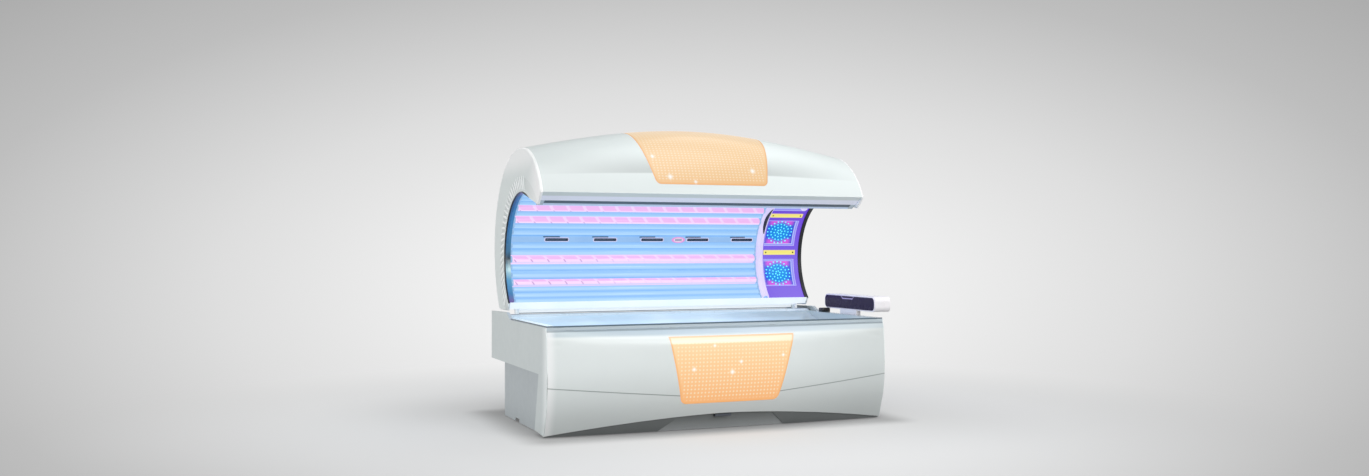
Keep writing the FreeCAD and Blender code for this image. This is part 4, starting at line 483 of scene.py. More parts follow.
# %% The plain finishes
PLAIN_FINISHES = {
    "shell": finish_of("shell_gloss", "E6ECEB", 0.34, mottle=0.01, grain=0.00001, patchy=0.03),
    "front": finish_of("front_gloss", "E6ECEB", 0.34, mottle=0.01, grain=0.00001, patchy=0.03,
                       shade=front_painted_light),
    # The brow's white is a darker copy of the shell's: painted shade.
    "brow": finish_of("brow_gloss", "E0E7E6", 0.34, mottle=0.01, grain=0.00001, patchy=0.03,
                      shade=brow_painted_shade),
    "side": finish_of("side_satin", "CBD2D2", 0.42, mottle=0.015, shade=side_painted_highlight),
    "cap": finish_of("cap_satin", "DDE4E3", 0.36, mottle=0.015, shade=cap_painted_light_and_rim),
    # The ribs are whiter than the cap: painted highlights on their slanting faces.
    "rib": finish_of("rib_painted_highlight", "FBFEFE", 0.34, mottle=0.01),
    "deck": finish_of("deck_paint", "E4EFF5", 0.30, mottle=0.01, shade=deck_painted_shade),
    "rim": finish_of("rim_black", "141318", 0.30, mottle=0.08, shade=rim_painted_reflection),
    "bracket": finish_of("bracket_paint", "4A4D50", 0.50, mottle=0.06, shade=bracket_shade),
    "panel": finish_of("panel_paint", "B4BBBE", 0.46, mottle=0.02),
    "kick": finish_of("kick_matte", "7C8080", 0.55, mottle=0.03, shade=kick_painted_light),
    "switch": finish_of("switch_plastic", "3A4048", 0.45, mottle=0.05),
    "dark": finish_of("dark_plastic", "1B1B1F", 0.38, mottle=0.08),
    "tray": finish_of("tray_white", "E8DCC8", 0.60, mottle=0.03),
    "holder": finish_of("holder_white", "DDE6F4", 0.50, mottle=0.03),
    "sheet": finish_of("galvanised_sheet", "B9BDBF", 0.40, mottle=0.12, metal=0.8),
    "ballast": finish_of("ballast_case", "C9CCCD", 0.45, mottle=0.05, metal=0.5),
    "frame": finish_of("frame_paint", "4A4D50", 0.50, mottle=0.08),
    "pin": finish_of("ground_steel", "B7B8BA", 0.25, mottle=0.06, metal=1.0),
    "strut": finish_of("strut_enamel", "E6EBEE", 0.25, mottle=0.03, coat=0.2),
    "fan": finish_of("fan_plastic", "1E1F22", 0.50, mottle=0.08),
    "rubber": finish_of("foot_rubber", "1A1A1A", 0.80, mottle=0.10, grain=0.0004),
    "profile": finish_of("profile_grey", "BCC8CF", 0.34, mottle=0.02, grain=0.00001, patchy=0.04),
    "aluminium": finish_of("satin_aluminium", "CDD1D4", 0.30, mottle=0.05, metal=0.85),
    "console": finish_of("console_shell", "F6F3F6", 0.30, mottle=0.01),
}
print("plain finishes:", len(PLAIN_FINISHES))

# %% Giving the construction its plain finishes
FINISH_OF_NODE = {
    "shell": ["canopy_rear_cover"],
    "front": ["front_cover_upper", "front_cover_lower"],
    "brow": ["canopy_front_cover"],
    "side": ["side_cover_left", "side_cover_right"],
    "cap": ["canopy_end_left", "canopy_end_right"],
    "deck": ["rear_deck"],
    "panel": ["pedestal_side_left", "pedestal_side_right", "pedestal_rear_panel", "rear_cover"],
    "kick": ["kick_plate"],
    "dark": ["mains_gland"],
    "rim": ["canopy_rims"],
    "bracket": ["hinge_brackets"],
    "switch": ["foot_switch"],
    "tray": ["front_light_board", "canopy_light_board"],
    "holder": ["bench_lamp_holders"],
    "sheet": ["floor_pan"],
    "ballast": ["ballasts"],
    "frame": ["base_frame"],
    "pin": ["hinge_pins", "strut_rod_left", "strut_rod_right"],
    "strut": ["strut_cylinder_left", "strut_cylinder_right"],
    "fan": ["fan_housings", "fan_rotor_left", "fan_rotor_right"],
    "rubber": ["levelling_feet"],
    "profile": ["bench_front_profile"],
    "aluminium": ["bench_reflector"],
    "console": ["console_body"],
}


def dress(node, material):
    """Give a piece of the construction its finish."""
    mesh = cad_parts[node].data
    mesh.materials.clear()
    mesh.materials.append(material)


for finish, nodes in FINISH_OF_NODE.items():
    for node in nodes:
        dress(node, PLAIN_FINISHES[finish])
print("dressed plainly:", sum(len(nodes) for nodes in FINISH_OF_NODE.values()))

# %% [markdown]
# ## Lit lamps
# A fluorescent lamp is a glass tube that glows all round, and changes a little in tone from its
# lower edge to its upper one. Each tube in this lesson carries a number, `side`, that goes from one
# edge of its lit face to the other, and the colour follows it. The pink lamps have a coating in
# slanting bands, which follows the length of the tube and the way across it.

# %% Finishes that glow
def glowing(name, colour, strength, share=0.45, roughness=0.3):
    """Material that glows with a colour and shows a share of it in the light of the room."""
    material, tree = blank_material(name)
    tint = colour(tree)
    shader = add(tree, "ShaderNodeBsdfPrincipled",
                 {"Base Color": mixed(tree, share, "000000", tint), "Emission Color": tint,
                  "Emission Strength": strength, "Roughness": roughness,
                  "Normal": skin(tree, 240.0, 0.0001, 0.3)})
    return closed(material, shader)


def side_of(tree):
    """Place across the lit face of a lamp, from 0 at its lower edge to 1 at its upper edge."""
    side = add(tree, "ShaderNodeAttribute", attribute_name="side").outputs["Fac"]
    return calc(tree, "MULTIPLY_ADD", side, -0.5, 0.5)


def blue_glow(tree):
    """Blue lamp: a pale lower half and a deeper upper half."""
    return ramp(tree, side_of(tree),
                [(0.0, "96C4F6"), (0.16, "B2DAFF"), (0.48, "B0D8FE"), (0.62, "A2CFFC"), (0.9, "98C8F8"),
                 (1.0, "90C0F5")])


STREAK_PITCH = 0.116
STREAK_SLANT = 0.34


def pink_glow(tree):
    """Pink lamp: a pink upper half crossed by slanting pale gaps, over a paler lower half."""
    side = side_of(tree)
    parts = place_of(tree)
    along = calc(tree, "DIVIDE", parts["X"], STREAK_PITCH)
    slanted = calc(tree, "FRACT", calc(tree, "MULTIPLY_ADD", side, STREAK_SLANT, along))
    near = apart(tree, slanted, 0.5)
    gap = falling(tree, near, 0.05, 0.15)
    bright = mixed(tree, times(tree, gap, 0.75), "F4BEF4", "FBDDFF")
    left = falling(tree, parts["X"], MIDDLE - 0.75, MIDDLE - 0.1)
    mark = times(tree, falling(tree, near, 0.015, 0.07), calc(tree, "MULTIPLY_ADD", left, 0.6, 0.08))
    pale = mixed(tree, mark, "FCDCFE", "B07CC4")
    colour = mixed(tree, stepped(tree, side, 0.44, 0.56), pale, bright)
    return mixed(tree, falling(tree, side, 0.02, 0.14), colour, "D3D2FF")


def lamp_end_painted_glow(tree):
    """Metal ends of the lamps, with a painted glow of the blue light of the glass beside them."""
    share = calc(tree, "FRACT", times(tree, place_of(tree)["Z"], 31.0))
    return ramp(tree, share, [(0.0, "8FBDEB"), (1.0, "A9CDF2")])


LAMP_BLUE = glowing("lamp_blue", blue_glow, 0.90, share=0.10)
LAMP_PINK = glowing("lamp_pink", pink_glow, 0.90, share=0.10)
LAMP_END = glowing("lamp_end", lamp_end_painted_glow, 0.75, share=0.15)

# %% [markdown]
# ## Rows of lamps
# All lamps of a row are the same tube, turned about the axis of the hollow so that its front faces
# the person. Geometry Nodes suit this well: a point stands for each lamp, and one tube with its two
# metal caps is placed on every point. Each point carries the angle by which its lamp is turned.

# %% Geometry Nodes for a row of lamps
LAMP_CAP = 0.010


def new_group(name, sizes):
    """Geometry Nodes tree with a geometry input, named number inputs and a geometry output."""
    tree = bpy.data.node_groups.new(name, "GeometryNodeTree")
    tree.interface.new_socket(name="Geometry", in_out="INPUT", socket_type="NodeSocketGeometry")
    tree.interface.new_socket(name="Geometry", in_out="OUTPUT", socket_type="NodeSocketGeometry")
    for size in sizes:
        tree.interface.new_socket(name=size, in_out="INPUT", socket_type="NodeSocketFloat")
    return tree, tree.nodes.new("NodeGroupInput").outputs


def placed(tree, points, member):
    """Finish a tree: put the member on every point, turned about the bed's length."""
    turn = add(tree, "GeometryNodeInputNamedAttribute", {"Name": "turn"}, data_type="FLOAT")
    angles = add(tree, "ShaderNodeCombineXYZ", {"X": turn.outputs[0]})
    rotation = add(tree, "FunctionNodeEulerToRotation", {"Euler": angles.outputs[0]})
    copies = add(tree, "GeometryNodeInstanceOnPoints",
                 {"Points": points, "Instance": member, "Rotation": rotation.outputs[0]})
    real = add(tree, "GeometryNodeRealizeInstances", {"Geometry": copies.outputs[0]})
    smooth = add(tree, "GeometryNodeSetShadeSmooth", {"Geometry": real.outputs[0]})
    tree.links.new(smooth.outputs[0], tree.nodes.new("NodeGroupOutput").inputs[0])
    return tree


def lamp_tree(name, glass, metal):
    """Tree that puts a lamp with two metal caps on every point."""
    tree, given = new_group(name, ("Length", "Radius", "Cap"))
    tube = add(tree, "GeometryNodeMeshCylinder",
               {"Vertices": 20, "Radius": given["Radius"], "Depth": given["Length"]})
    cap_radius = times(tree, given["Radius"], 1.03)
    cap = add(tree, "GeometryNodeMeshCylinder",
              {"Vertices": 20, "Radius": cap_radius, "Depth": given["Cap"]})
    reach = minus(tree, times(tree, given["Length"], 0.5), times(tree, given["Cap"], 0.49))
    glass_part = add(tree, "GeometryNodeSetMaterial",
                     {"Geometry": tube.outputs["Mesh"], "Material": glass})
    members = [glass_part.outputs[0]]
    for sign in (-1.0, 1.0):
        offset = add(tree, "ShaderNodeCombineXYZ", {"Z": times(tree, reach, sign)})
        moved = add(tree, "GeometryNodeTransform",
                    {"Geometry": cap.outputs["Mesh"], "Translation": offset.outputs[0]})
        metal_part = add(tree, "GeometryNodeSetMaterial",
                         {"Geometry": moved.outputs[0], "Material": metal})
        members.append(metal_part.outputs[0])
    joined = tree.nodes.new("GeometryNodeJoinGeometry")
    for member in members:
        tree.links.new(member, joined.inputs[0])
    laid = add(tree, "GeometryNodeTransform",
               {"Geometry": joined.outputs[0], "Rotation": (0.0, math.pi / 2, 0.0)})
    parts = add(tree, "ShaderNodeSeparateXYZ",
                {"Vector": add(tree, "GeometryNodeInputPosition").outputs[0]}).outputs
    side = calc(tree, "DIVIDE", parts["Z"], given["Radius"])
    stored = add(tree, "GeometryNodeStoreNamedAttribute",
                 {"Geometry": laid.outputs[0], "Name": "side", "Value": side},
                 data_type="FLOAT", domain="POINT")
    return placed(tree, given["Geometry"], stored.outputs[0])


def points_mesh(name, places, turns):
    """Mesh of loose points, each with the angle by which what stands on it is turned."""
    mesh = bpy.data.meshes.new(name)
    mesh.from_pydata([tuple(place) for place in places], [], [])
    attribute = mesh.attributes.new("turn", "FLOAT", "POINT")
    for item, value in zip(attribute.data, turns):
        item.value = value
    return mesh


def new_piece(name, mesh):
    """Put a mesh in the scene as a piece."""
    piece = bpy.data.objects.new(name, mesh)
    bpy.context.scene.collection.objects.link(piece)
    return piece


def grown(name, places, turns, tree, sizes):
    """Run a tree on points with these sizes and keep the result as a plain mesh."""
    piece = new_piece(name, points_mesh(name, places, turns))
    modifier = piece.modifiers.new(name, "NODES")
    modifier.node_group = tree
    for item in tree.interface.items_tree:
        if item.in_out == "INPUT" and item.name in sizes:
            modifier[item.identifier] = sizes[item.name]
    graph = bpy.context.evaluated_depsgraph_get()
    result = bpy.data.meshes.new_from_object(piece.evaluated_get(graph))
    piece.modifiers.clear()
    piece.data = result
    print(name, "has", len(result.polygons), "faces")
    return piece


def settle(piece, body, slot, *nodes):
    """Let a piece ride on a body and hide the nodes that it stands for; the slot is not used."""
    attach(piece, body)
    if nodes:
        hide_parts(*nodes)


# %% The lamps of the canopy
LAMP_RADIUS = 0.019
LAMP_ROW = 0.454
PINK_ANGLES = (-21.0, -0.5, 35.75, 49.3)
PINK_EXTRA = 0.0035
BLUE_RUNS = ((-39.0, -27.0, 3), (-14.2, -7.3, 2), (5.6, 11.4, 2), (23.6, 29.6, 2),
             (42.5, 56.0, 2), (62.8, 123.0, 10))


def lamp_row(name, glass, places, angles, length, radius):
    """Row of lamps at these places, each turned to face the axis of its row."""
    turns = [math.radians(degrees + 180) for degrees in angles]
    return grown(name, places, turns, lamp_tree(name, glass, LAMP_END),
                 {"Length": length, "Radius": radius, "Cap": LAMP_CAP})


blue_angles = [first + (last - first) * step / (count - 1)
               for first, last, count in BLUE_RUNS for step in range(count)]
lamp_low, lamp_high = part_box("canopy_lamps")
lamp_middle = (lamp_low.x + lamp_high.x) / 2
for name, angles, glass, extra, nodes in (
        ("canopy_lamps_blue", blue_angles, LAMP_BLUE, 0.0, ["canopy_lamps"]),
        ("canopy_lamps_pink", PINK_ANGLES, LAMP_PINK, PINK_EXTRA, [])):
    places = [around(lamp_middle, degrees, LAMP_ROW - extra) for degrees in angles]
    row = lamp_row(name, glass, places, angles, lamp_high.x - lamp_low.x, LAMP_RADIUS + extra)
    settle(row, "canopy", "lamp_glass", *nodes)

# %% [markdown]
# The bench has its own row of twelve lamps, on an arc that opens upwards. The same tree makes it.

# %% The lamps of the bench
bench_low, bench_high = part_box("bench_lamps")
BENCH_LAMPS = 12
BENCH_STEP = 3.0
BENCH_ROW = 1.456
bench_axis_y = (bench_low.y + bench_high.y) / 2
bench_axis_z = bench_low.z + LAMP_RADIUS + BENCH_ROW
bench_angles = [-90 + BENCH_STEP * (number - (BENCH_LAMPS - 1) / 2) for number in range(BENCH_LAMPS)]
bench_places = [Vector(((bench_low.x + bench_high.x) / 2,
                        bench_axis_y + BENCH_ROW * math.cos(math.radians(degrees)),
                        bench_axis_z + BENCH_ROW * math.sin(math.radians(degrees))))
                for degrees in bench_angles]
bench_row = lamp_row("bench_lamps_blue", LAMP_BLUE, bench_places, bench_angles,
                     bench_high.x - bench_low.x, LAMP_RADIUS)
settle(bench_row, "base", "lamp_glass", "bench_lamps")

# %% [markdown]
# ## The amber light panels
# Both panels are translucent amber covers over a board of small lights. The lights shine through as a
# grid of paler dots, the colour runs from cream at the top to orange at the bottom, and the edge of
# the cover is a deeper orange. A few painted glints lie on each. The distance to the nearest edge is
# worked out from the panel's own trapezoid, so the rim follows its shape.

# %% A function for the amber panels
DOT_PITCH = 0.0235
DOT_RADIUS = 0.0052
DOT_MARGIN = (0.014, 0.030)
AMBER_RIM = (0.003, 0.014)
ROOF_LEAN = 0.7


def dots(tree, across, up, pitch, radius):
    """Grid of soft round dots, as a share from 0 to 1."""
    parts = []
    for value in (across, up):
        cell = minus(tree, calc(tree, "FRACT", calc(tree, "DIVIDE", value, pitch)), 0.5)
        parts.append(calc(tree, "POWER", times(tree, cell, pitch), 2.0))
    distance = calc(tree, "SQRT", calc(tree, "ADD", *parts))
    return falling(tree, distance, radius * 0.5, radius * 1.5)


def painted_glint(tree, across, up, centre, reach):
    """Soft four-pointed painted glint around a point, as a share from 0 to 1."""
    dx = apart(tree, across, centre[0])
    dz = apart(tree, up, centre[1])
    away = length_of(tree, dx, dz)
    core = falling(tree, away, 0.0, reach)
    cross = falling(tree, calc(tree, "SQRT", times(tree, dx, dz)), 0.0, reach * 0.22)
    near = falling(tree, away, reach * 0.4, reach * 1.9)
    return calc(tree, "MAXIMUM", calc(tree, "POWER", core, 1.6), times(tree, cross, near))


def amber(name, top, bottom, half_top, half_bottom, fade, glints, strength, offset=0.0, back=None):
    """Lit amber cover: a trapezoid between two heights, with a rim, dots and painted glints."""

    def colour(tree):
        parts = place_of(tree)
        across = minus(tree, parts["X"], MIDDLE + offset)
        up = parts["Z"]
        share = calc(tree, "DIVIDE", minus(tree, up, bottom), top - bottom)
        half = calc(tree, "MULTIPLY_ADD", share, half_top - half_bottom, half_bottom)
        edge = minus(tree, half, calc(tree, "ABSOLUTE", across))
        edge = calc(tree, "SMOOTH_MIN", edge, minus(tree, up, bottom), 0.03)
        if back is None:
            edge = calc(tree, "SMOOTH_MIN", edge, minus(tree, top, up), 0.01)
        else:
            edge = calc(tree, "SMOOTH_MIN", edge, minus(tree, back, parts["Y"]), 0.02)
        lean = 0.0 if back is None else ROOF_LEAN
        rise = calc(tree, "MULTIPLY_ADD", parts["Y"], lean, up)
        grid = dots(tree, across, rise, DOT_PITCH, DOT_RADIUS)
        lights = times(tree, times(tree, grid, stepped(tree, edge, *DOT_MARGIN)), 0.60)
        lit = mixed(tree, lights, ramp(tree, share, fade), "FFF0D2")
        rim = times(tree, falling(tree, edge, *AMBER_RIM), 0.6)
        lit = mixed(tree, rim, lit, "F4A865")
        # painted glints
        for centre, reach in glints:
            lit = mixed(tree, painted_glint(tree, across, up, centre, reach), lit, (1.0, 1.0, 0.97, 1.0))
        return lit

    return glowing(name, colour, strength, share=0.42, roughness=0.22)


# %% The amber panels of the base and the canopy
BASE_FADE = [(0.0, "F8B678"), (0.30, "F8C28A"), (0.70, "F8D09C"), (0.885, "F8D8A8"), (0.90, "FCEBCB"),
             (1.0, "FCEFD6")]
BASE_PAINTED_GLINTS = [((-0.261, 0.393), 0.021), ((-0.129, 0.534), 0.017), ((-0.007, 0.369), 0.025),
               ((0.05, 0.431), 0.019), ((0.342, 0.462), 0.018)]
dress("front_light_panel", amber("amber_base", top=0.594, bottom=0.180, half_top=0.422,
                                 half_bottom=0.325, fade=BASE_FADE, glints=BASE_PAINTED_GLINTS,
                                 strength=0.66))
CANOPY_FADE = [(0.0, "F5C48C"), (0.15, "F6CC98"), (0.7, "F7D2A2"), (0.92, "F9DAB2"), (1.0, "F4C8A0")]
CANOPY_PAINTED_GLINTS = [((-0.383, 1.712), 0.022), ((-0.290, 1.580), 0.030), ((-0.120, 1.550), 0.020),
                 ((0.300, 1.630), 0.028)]
dress("canopy_light_panel", amber("amber_canopy", top=1.9206, bottom=1.532, half_top=0.485,
                                  half_bottom=0.386, fade=CANOPY_FADE, glints=CANOPY_PAINTED_GLINTS,
                                  strength=0.47, offset=0.025, back=FRONT + 0.735))

# %% [markdown]
# ## Inside the canopy
# The sheet behind the lamps has a painted reflection of their blue light. The bright strip under the
# lamps, the divider and the other trim beside the lamps have a painted glow, and the facial unit is
# lit from within.

# %% Sheets and strips with a painted glow or reflection of the lamps
def plain_glow(name, low, high, strength, share=0.45, scale=6.0):
    """Glow whose colour drifts between two tones."""
    return glowing(name, lambda tree: drifting(tree, low, high, scale), strength, share)


def holder_painted_light(tree):
    """Holders of the lamps: a painted reflection at the left end, a painted glow of the lamps at the
    right end.
    """
    right = calc(tree, "GREATER_THAN", place_of(tree)["X"], MIDDLE)
    return mixed(tree, right, painted_reflection_strip(tree), "8FBFF6")


PINK_REFLECTION_REACH = (3.4, 4.4)


def reflector_painted_reflection(tree):
    """Sheet behind the lamps: a painted reflection of them, blue, and pale pink beside each pink lamp.
    """
    colour = drifting(tree, "84B9F4", "90C3F8", 6.0)
    angle = degrees_of(tree)
    for pink in PINK_ANGLES:
        beside = falling(tree, apart(tree, angle, pink), *PINK_REFLECTION_REACH)
        colour = mixed(tree, beside, colour, "F6D2FC")
    return colour


def mist_glow(tree):
    """Mist outlet with a painted glow: a pink rim round a pale oval that is crossed by two dark slots.
    """
    low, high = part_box("mist_outlet")
    middle = (low + high) / 2
    parts = place_of(tree)
    across = calc(tree, "DIVIDE", minus(tree, parts["X"], middle.x), high.x - middle.x)
    up = calc(tree, "DIVIDE", minus(tree, parts["Z"], middle.z), high.z - middle.z)
    rim = stepped(tree, length_of(tree, across, up), 0.66, 0.80)
    beside = stepped(tree, apart(tree, calc(tree, "ABSOLUTE", up), 0.24), 0.06, 0.12)
    past_end = stepped(tree, calc(tree, "ABSOLUTE", across), 0.50, 0.54)
    inner = mixed(tree, calc(tree, "MAXIMUM", beside, past_end), "4A3A5C", "F6DCF4")
    return mixed(tree, rim, inner, "F29AE0")


# These glows are painted light: a painted reflection of the lamps or the room, or a painted glow of the
# lamps beside each piece.
dress("canopy_reflector", glowing("reflector_lit", reflector_painted_reflection, 0.88, share=0.10))
dress("canopy_bottom_cover", plain_glow("strip_white", "EAF4FB", "F2F9FD", 0.66, share=0.50))
dress("nozzle_strip", plain_glow("strip_blue", "96C0F0", "A0CAF6", 0.80, share=0.15))
dress("mist_outlet", glowing("mist_pink", mist_glow, 0.75, share=0.20))
dress("canopy_lamp_holders", glowing("holder_blue", holder_painted_light, 0.75, share=0.20, roughness=0.12))
dress("shoulder_divider", plain_glow("divider_lilac", "DCD0F6", "EADDFA", 0.68, share=0.40))
dress("brow_underside", glowing("underside_lit", underside_painted_glow, 0.32, share=0.80, roughness=0.4))
dress("handle_rail", glowing("rail_lit", rail_painted_light, 0.32, share=0.80, roughness=0.4))
dress("canopy_frame", glowing("arm_paint", arm_painted_glow, 0.45, share=0.55, roughness=0.5))
dress("handle_end_caps", finish_of("clear_end", "BFCBD2", 0.15, mottle=0.02, coat=0.4))

# %% [markdown]
# The console's face is one sheet of dark glass. Its rounded ends, the pale line round it and the
# outline of its grip are drawn by its finish.

# %% Console face and air nozzles
NOZZLES = range(1, 6)
FACE_ROUNDING = 0.034
FACE_LINE = (0.004, 0.002)
GRIP_REACH = 0.092
GRIP_DEPTH = 0.020
GRIP_LINE = (0.0025, 0.0045)


def face_shade(tree, colour):
    """Console face: dark glass with rounded ends, a pale line round it and a grip at its top."""
    low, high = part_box("console_face")
    parts = place_of(tree)
    outside = []
    for part, start, stop in (("Y", low.y, high.y), ("Z", low.z, high.z)):
        away = apart(tree, parts[part], (start + stop) / 2)
        away = minus(tree, away, (stop - start) / 2 - FACE_ROUNDING)
        outside.append(calc(tree, "MAXIMUM", away, 0.0))
    start, stop = (FACE_ROUNDING - inset for inset in FACE_LINE)
    colour = mixed(tree, stepped(tree, length_of(tree, *outside), start, stop), colour, "E9E2EE")
    across = apart(tree, parts["Y"], (low.y + high.y) / 2 + 0.02)
    below = minus(tree, high.z, parts["Z"])
    slant = minus(tree, GRIP_REACH, calc(tree, "MULTIPLY_ADD", below, 1.2, across))
    edge = calc(tree, "MINIMUM", slant, minus(tree, GRIP_DEPTH, below))
    line = falling(tree, calc(tree, "ABSOLUTE", edge), *GRIP_LINE)
    return mixed(tree, line, colour, "C4B4DC")


dress("console_face", finish_of("console_glass", "2A1C3E", 0.26, mottle=0.03, specular=0.15,
                                shade=face_shade))
for number in NOZZLES:
    dress("air_nozzle_%d" % number, finish_of("nozzle_violet_%d" % number, "1F1A30", 0.25, mottle=0.05))

# %% [markdown]
# ## The facial unit
# Three square windows look into the facial unit. Behind each lies a tile with rings of small blue
# lights on a glow that turns magenta above and below, and a pale frame slopes from the edge of the
# window down to the tile. A yellow bar is screwed on between one window and the next.

# %% Colours of the facial unit
unit_low, unit_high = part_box("facial_led_units")
FACIAL_RADIUS = 0.4397
TILE_RADIUS = 0.4537
TILE_FIRST = -14.6
TILE_PITCH = 39.4
WINDOW_SPAN = 26.0
WINDOW_START = unit_low.x + 0.012
WINDOW_STOP = unit_high.x - 0.038
TILE_START = WINDOW_START + 0.004
TILE_STOP = WINDOW_STOP - 0.014
TILE_MIDDLE = (TILE_START + TILE_STOP) / 2


def tile_count(tree):
    """Number of the tile that a place belongs to, with the part of a tile that is left over."""
    return calc(tree, "DIVIDE", minus(tree, degrees_of(tree), TILE_FIRST), TILE_PITCH)


def tile_glow(tree):
    """Blue disc on a glow that is magenta above and below it and deep blue in the corners."""
    turns = tile_count(tree)
    rest = minus(tree, turns, calc(tree, "ROUND", turns))
    up = times(tree, rest, math.radians(TILE_PITCH) * TILE_RADIUS)
    across = minus(tree, place_of(tree)["X"], TILE_MIDDLE)
    distance = length_of(tree, up, across)
    high = stepped(tree, calc(tree, "ABSOLUTE", up), 0.040, 0.070)
    wide = stepped(tree, calc(tree, "ABSOLUTE", across), 0.070, 0.118)
    ground = mixed(tree, high, "0E70EA", "DC5CE4")
    ground = mixed(tree, wide, ground, "3554DC")
    disc = falling(tree, distance, 0.060, 0.098)
    ground = mixed(tree, disc, ground, "0090EA")
    core = falling(tree, distance, 0.012, 0.026)
    return mixed(tree, core, ground, "1093E6")


def bar_painted_glow(tree):
    """Yellow bar with a painted glow, deeper along its two edges."""
    rest = apart(tree, calc(tree, "FRACT", tile_count(tree)), 0.5)
    across = times(tree, rest, TILE_PITCH)
    return ramp(tree, calc(tree, "DIVIDE", across, 2.3),
                [(0.0, "F6EC78"), (0.6, "F8EC84"), (1.0, "FBE28A")])


def panel_glow(tree):
    """Violet panel, deeper towards its top and its outer end."""
    share = calc(tree, "DIVIDE", calc(tree, "ADD", degrees_of(tree), 42.0), HOLLOW_SPAN)
    return ramp(tree, share, [(0.0, "8566EA"), (0.35, "7D5FEC"), (0.62, "7448E6"), (0.85, "5E30D8")])


dress("facial_led_units", glowing("led_tile", tile_glow, 0.66, share=0.36))
dress("facial_bars", glowing("bar_yellow", bar_painted_glow, 0.85, share=0.15))
dress("facial_panel", glowing("facial_violet", panel_glow, 0.80, share=0.15))


# %% Sloping frames of the windows
SIDE_STEPS = 8


def loop_on_arc(first, last, low, high, radius):
    """Closed loop of points round a window: two straight sides and two curved ones."""
    shares = [step / SIDE_STEPS for step in range(SIDE_STEPS)]
    loop = [around(first + (last - first) * share, low, radius) for share in shares]
    loop += [around(last, low + (high - low) * share, radius) for share in shares]
    loop += [around(last + (first - last) * share, high, radius) for share in shares]
    loop += [around(first, high + (low - high) * share, radius) for share in shares]
    return loop


def bridged(mesh, loops, closed_end=False):
    """Faces between each loop of points and the next, and over the last if it is closed."""
    rings = [[mesh.verts.new(point) for point in loop] for loop in loops]
    for outer, inner in zip(rings, rings[1:]):
        for step in range(len(outer)):
            after = (step + 1) % len(outer)
            mesh.faces.new([outer[step], outer[after], inner[after], inner[step]])
    if closed_end:
        mesh.faces.new(rings[-1])


def kept(mesh, name):
    """Keep a finished mesh as a piece."""
    result = bpy.data.meshes.new(name)
    mesh.to_mesh(result)
    mesh.free()
    print(name, "has", len(result.polygons), "faces")
    return new_piece(name, result)


def facing_mesh(mesh, name, smooth=True):
    """Turn every face towards the axis of the hollow and keep the result as a piece."""
    for face in mesh.faces:
        face.smooth = smooth
        face.normal_update()
        middle = face.calc_center_median()
        if face.normal.dot(Vector((0.0, AXIS_Y - middle.y, AXIS_Z - middle.z))) < 0:
            face.normal_flip()
    return kept(mesh, name)


TILE_COUNT = 3
FRAME_LIP = 0.0006
mesh = bmesh.new()
for number in range(TILE_COUNT):
    middle = TILE_FIRST + number * TILE_PITCH
    low, high = middle - WINDOW_SPAN / 2, middle + WINDOW_SPAN / 2
    bridged(mesh, [loop_on_arc(WINDOW_START - 0.002, WINDOW_STOP + 0.002, low - 0.3, high + 0.3,
                               FACIAL_RADIUS - FRAME_LIP),
                   loop_on_arc(WINDOW_START, WINDOW_STOP, low, high, FACIAL_RADIUS),
                   loop_on_arc(TILE_START, TILE_STOP, low + 1.6, high - 1.6, TILE_RADIUS - FRAME_LIP)])
frames = facing_mesh(mesh, "facial_frames", smooth=False)


def frame_painted_light(tree):
    """Lilac slope with a painted glow, and a painted highlight on its nearly white outer edge."""
    depth = calc(tree, "DIVIDE", minus(tree, radius_of(tree), FACIAL_RADIUS - 0.001), 0.014)
    return ramp(tree, depth,
                [(0.0, "D4D2FF"), (0.14, "A9A6FA"), (0.5, "8E88F2"), (0.85, "B9C4FF"), (1.0, "D8E6FF")])


frames.data.materials.append(glowing("frame_lilac", frame_painted_light, 0.85, share=0.15))
settle(frames, "canopy", "facial_violet")

# %% [markdown]
# The small lights and the screws are all small domed studs, so one Geometry Nodes tree makes them:
# a ball is flattened, given its finish and put on every point.

# %% A tree for small studs
def stud_tree(name, material, flatness):
    """Tree that puts a small domed stud on every point."""
    tree, given = new_group(name, ("Radius",))
    ball = add(tree, "GeometryNodeMeshIcoSphere", {"Radius": given["Radius"], "Subdivisions": 2})
    squashed = add(tree, "GeometryNodeTransform",
                   {"Geometry": ball.outputs["Mesh"], "Scale": (1.0, flatness, 1.0)})
    finished = add(tree, "GeometryNodeSetMaterial",
                   {"Geometry": squashed.outputs[0], "Material": material})
    return placed(tree, given["Geometry"], finished.outputs[0])


# %% [markdown]
# The small lights stand in four rings on each tile. The rings are a little wider than they are high,
# and each ring is turned a little against the next, so that the lights don't line up.

# %% Rings of small lights
RINGS = ((0.016, 6), (0.038, 10), (0.062, 16), (0.086, 20))
RING_WIDENING = 1.12
LED_RADIUS = 0.0053
LED_SINK = 0.0012
led_places = []
led_turns = []
for number in range(TILE_COUNT):
    middle = TILE_FIRST + number * TILE_PITCH
    for reach, count in RINGS:
        for step in range(count):
            turn = 2 * math.pi * (step + 0.5 * (count % 4) / 4) / count
            across = reach * RING_WIDENING * math.cos(turn)
            degrees = middle + math.degrees(reach * math.sin(turn) / TILE_RADIUS)
            led_places.append(around(TILE_MIDDLE + across, degrees, TILE_RADIUS - LED_SINK))
            led_turns.append(math.radians(degrees + 180))
LED_CYAN = plain_glow("led_cyan", "58F2FF", "78F8FF", 0.95, share=0.50, scale=80.0)
leds = grown("facial_leds", led_places, led_turns, stud_tree("facial_leds", LED_CYAN, 0.5),
             {"Radius": LED_RADIUS})
settle(leds, "canopy", "led_blue")

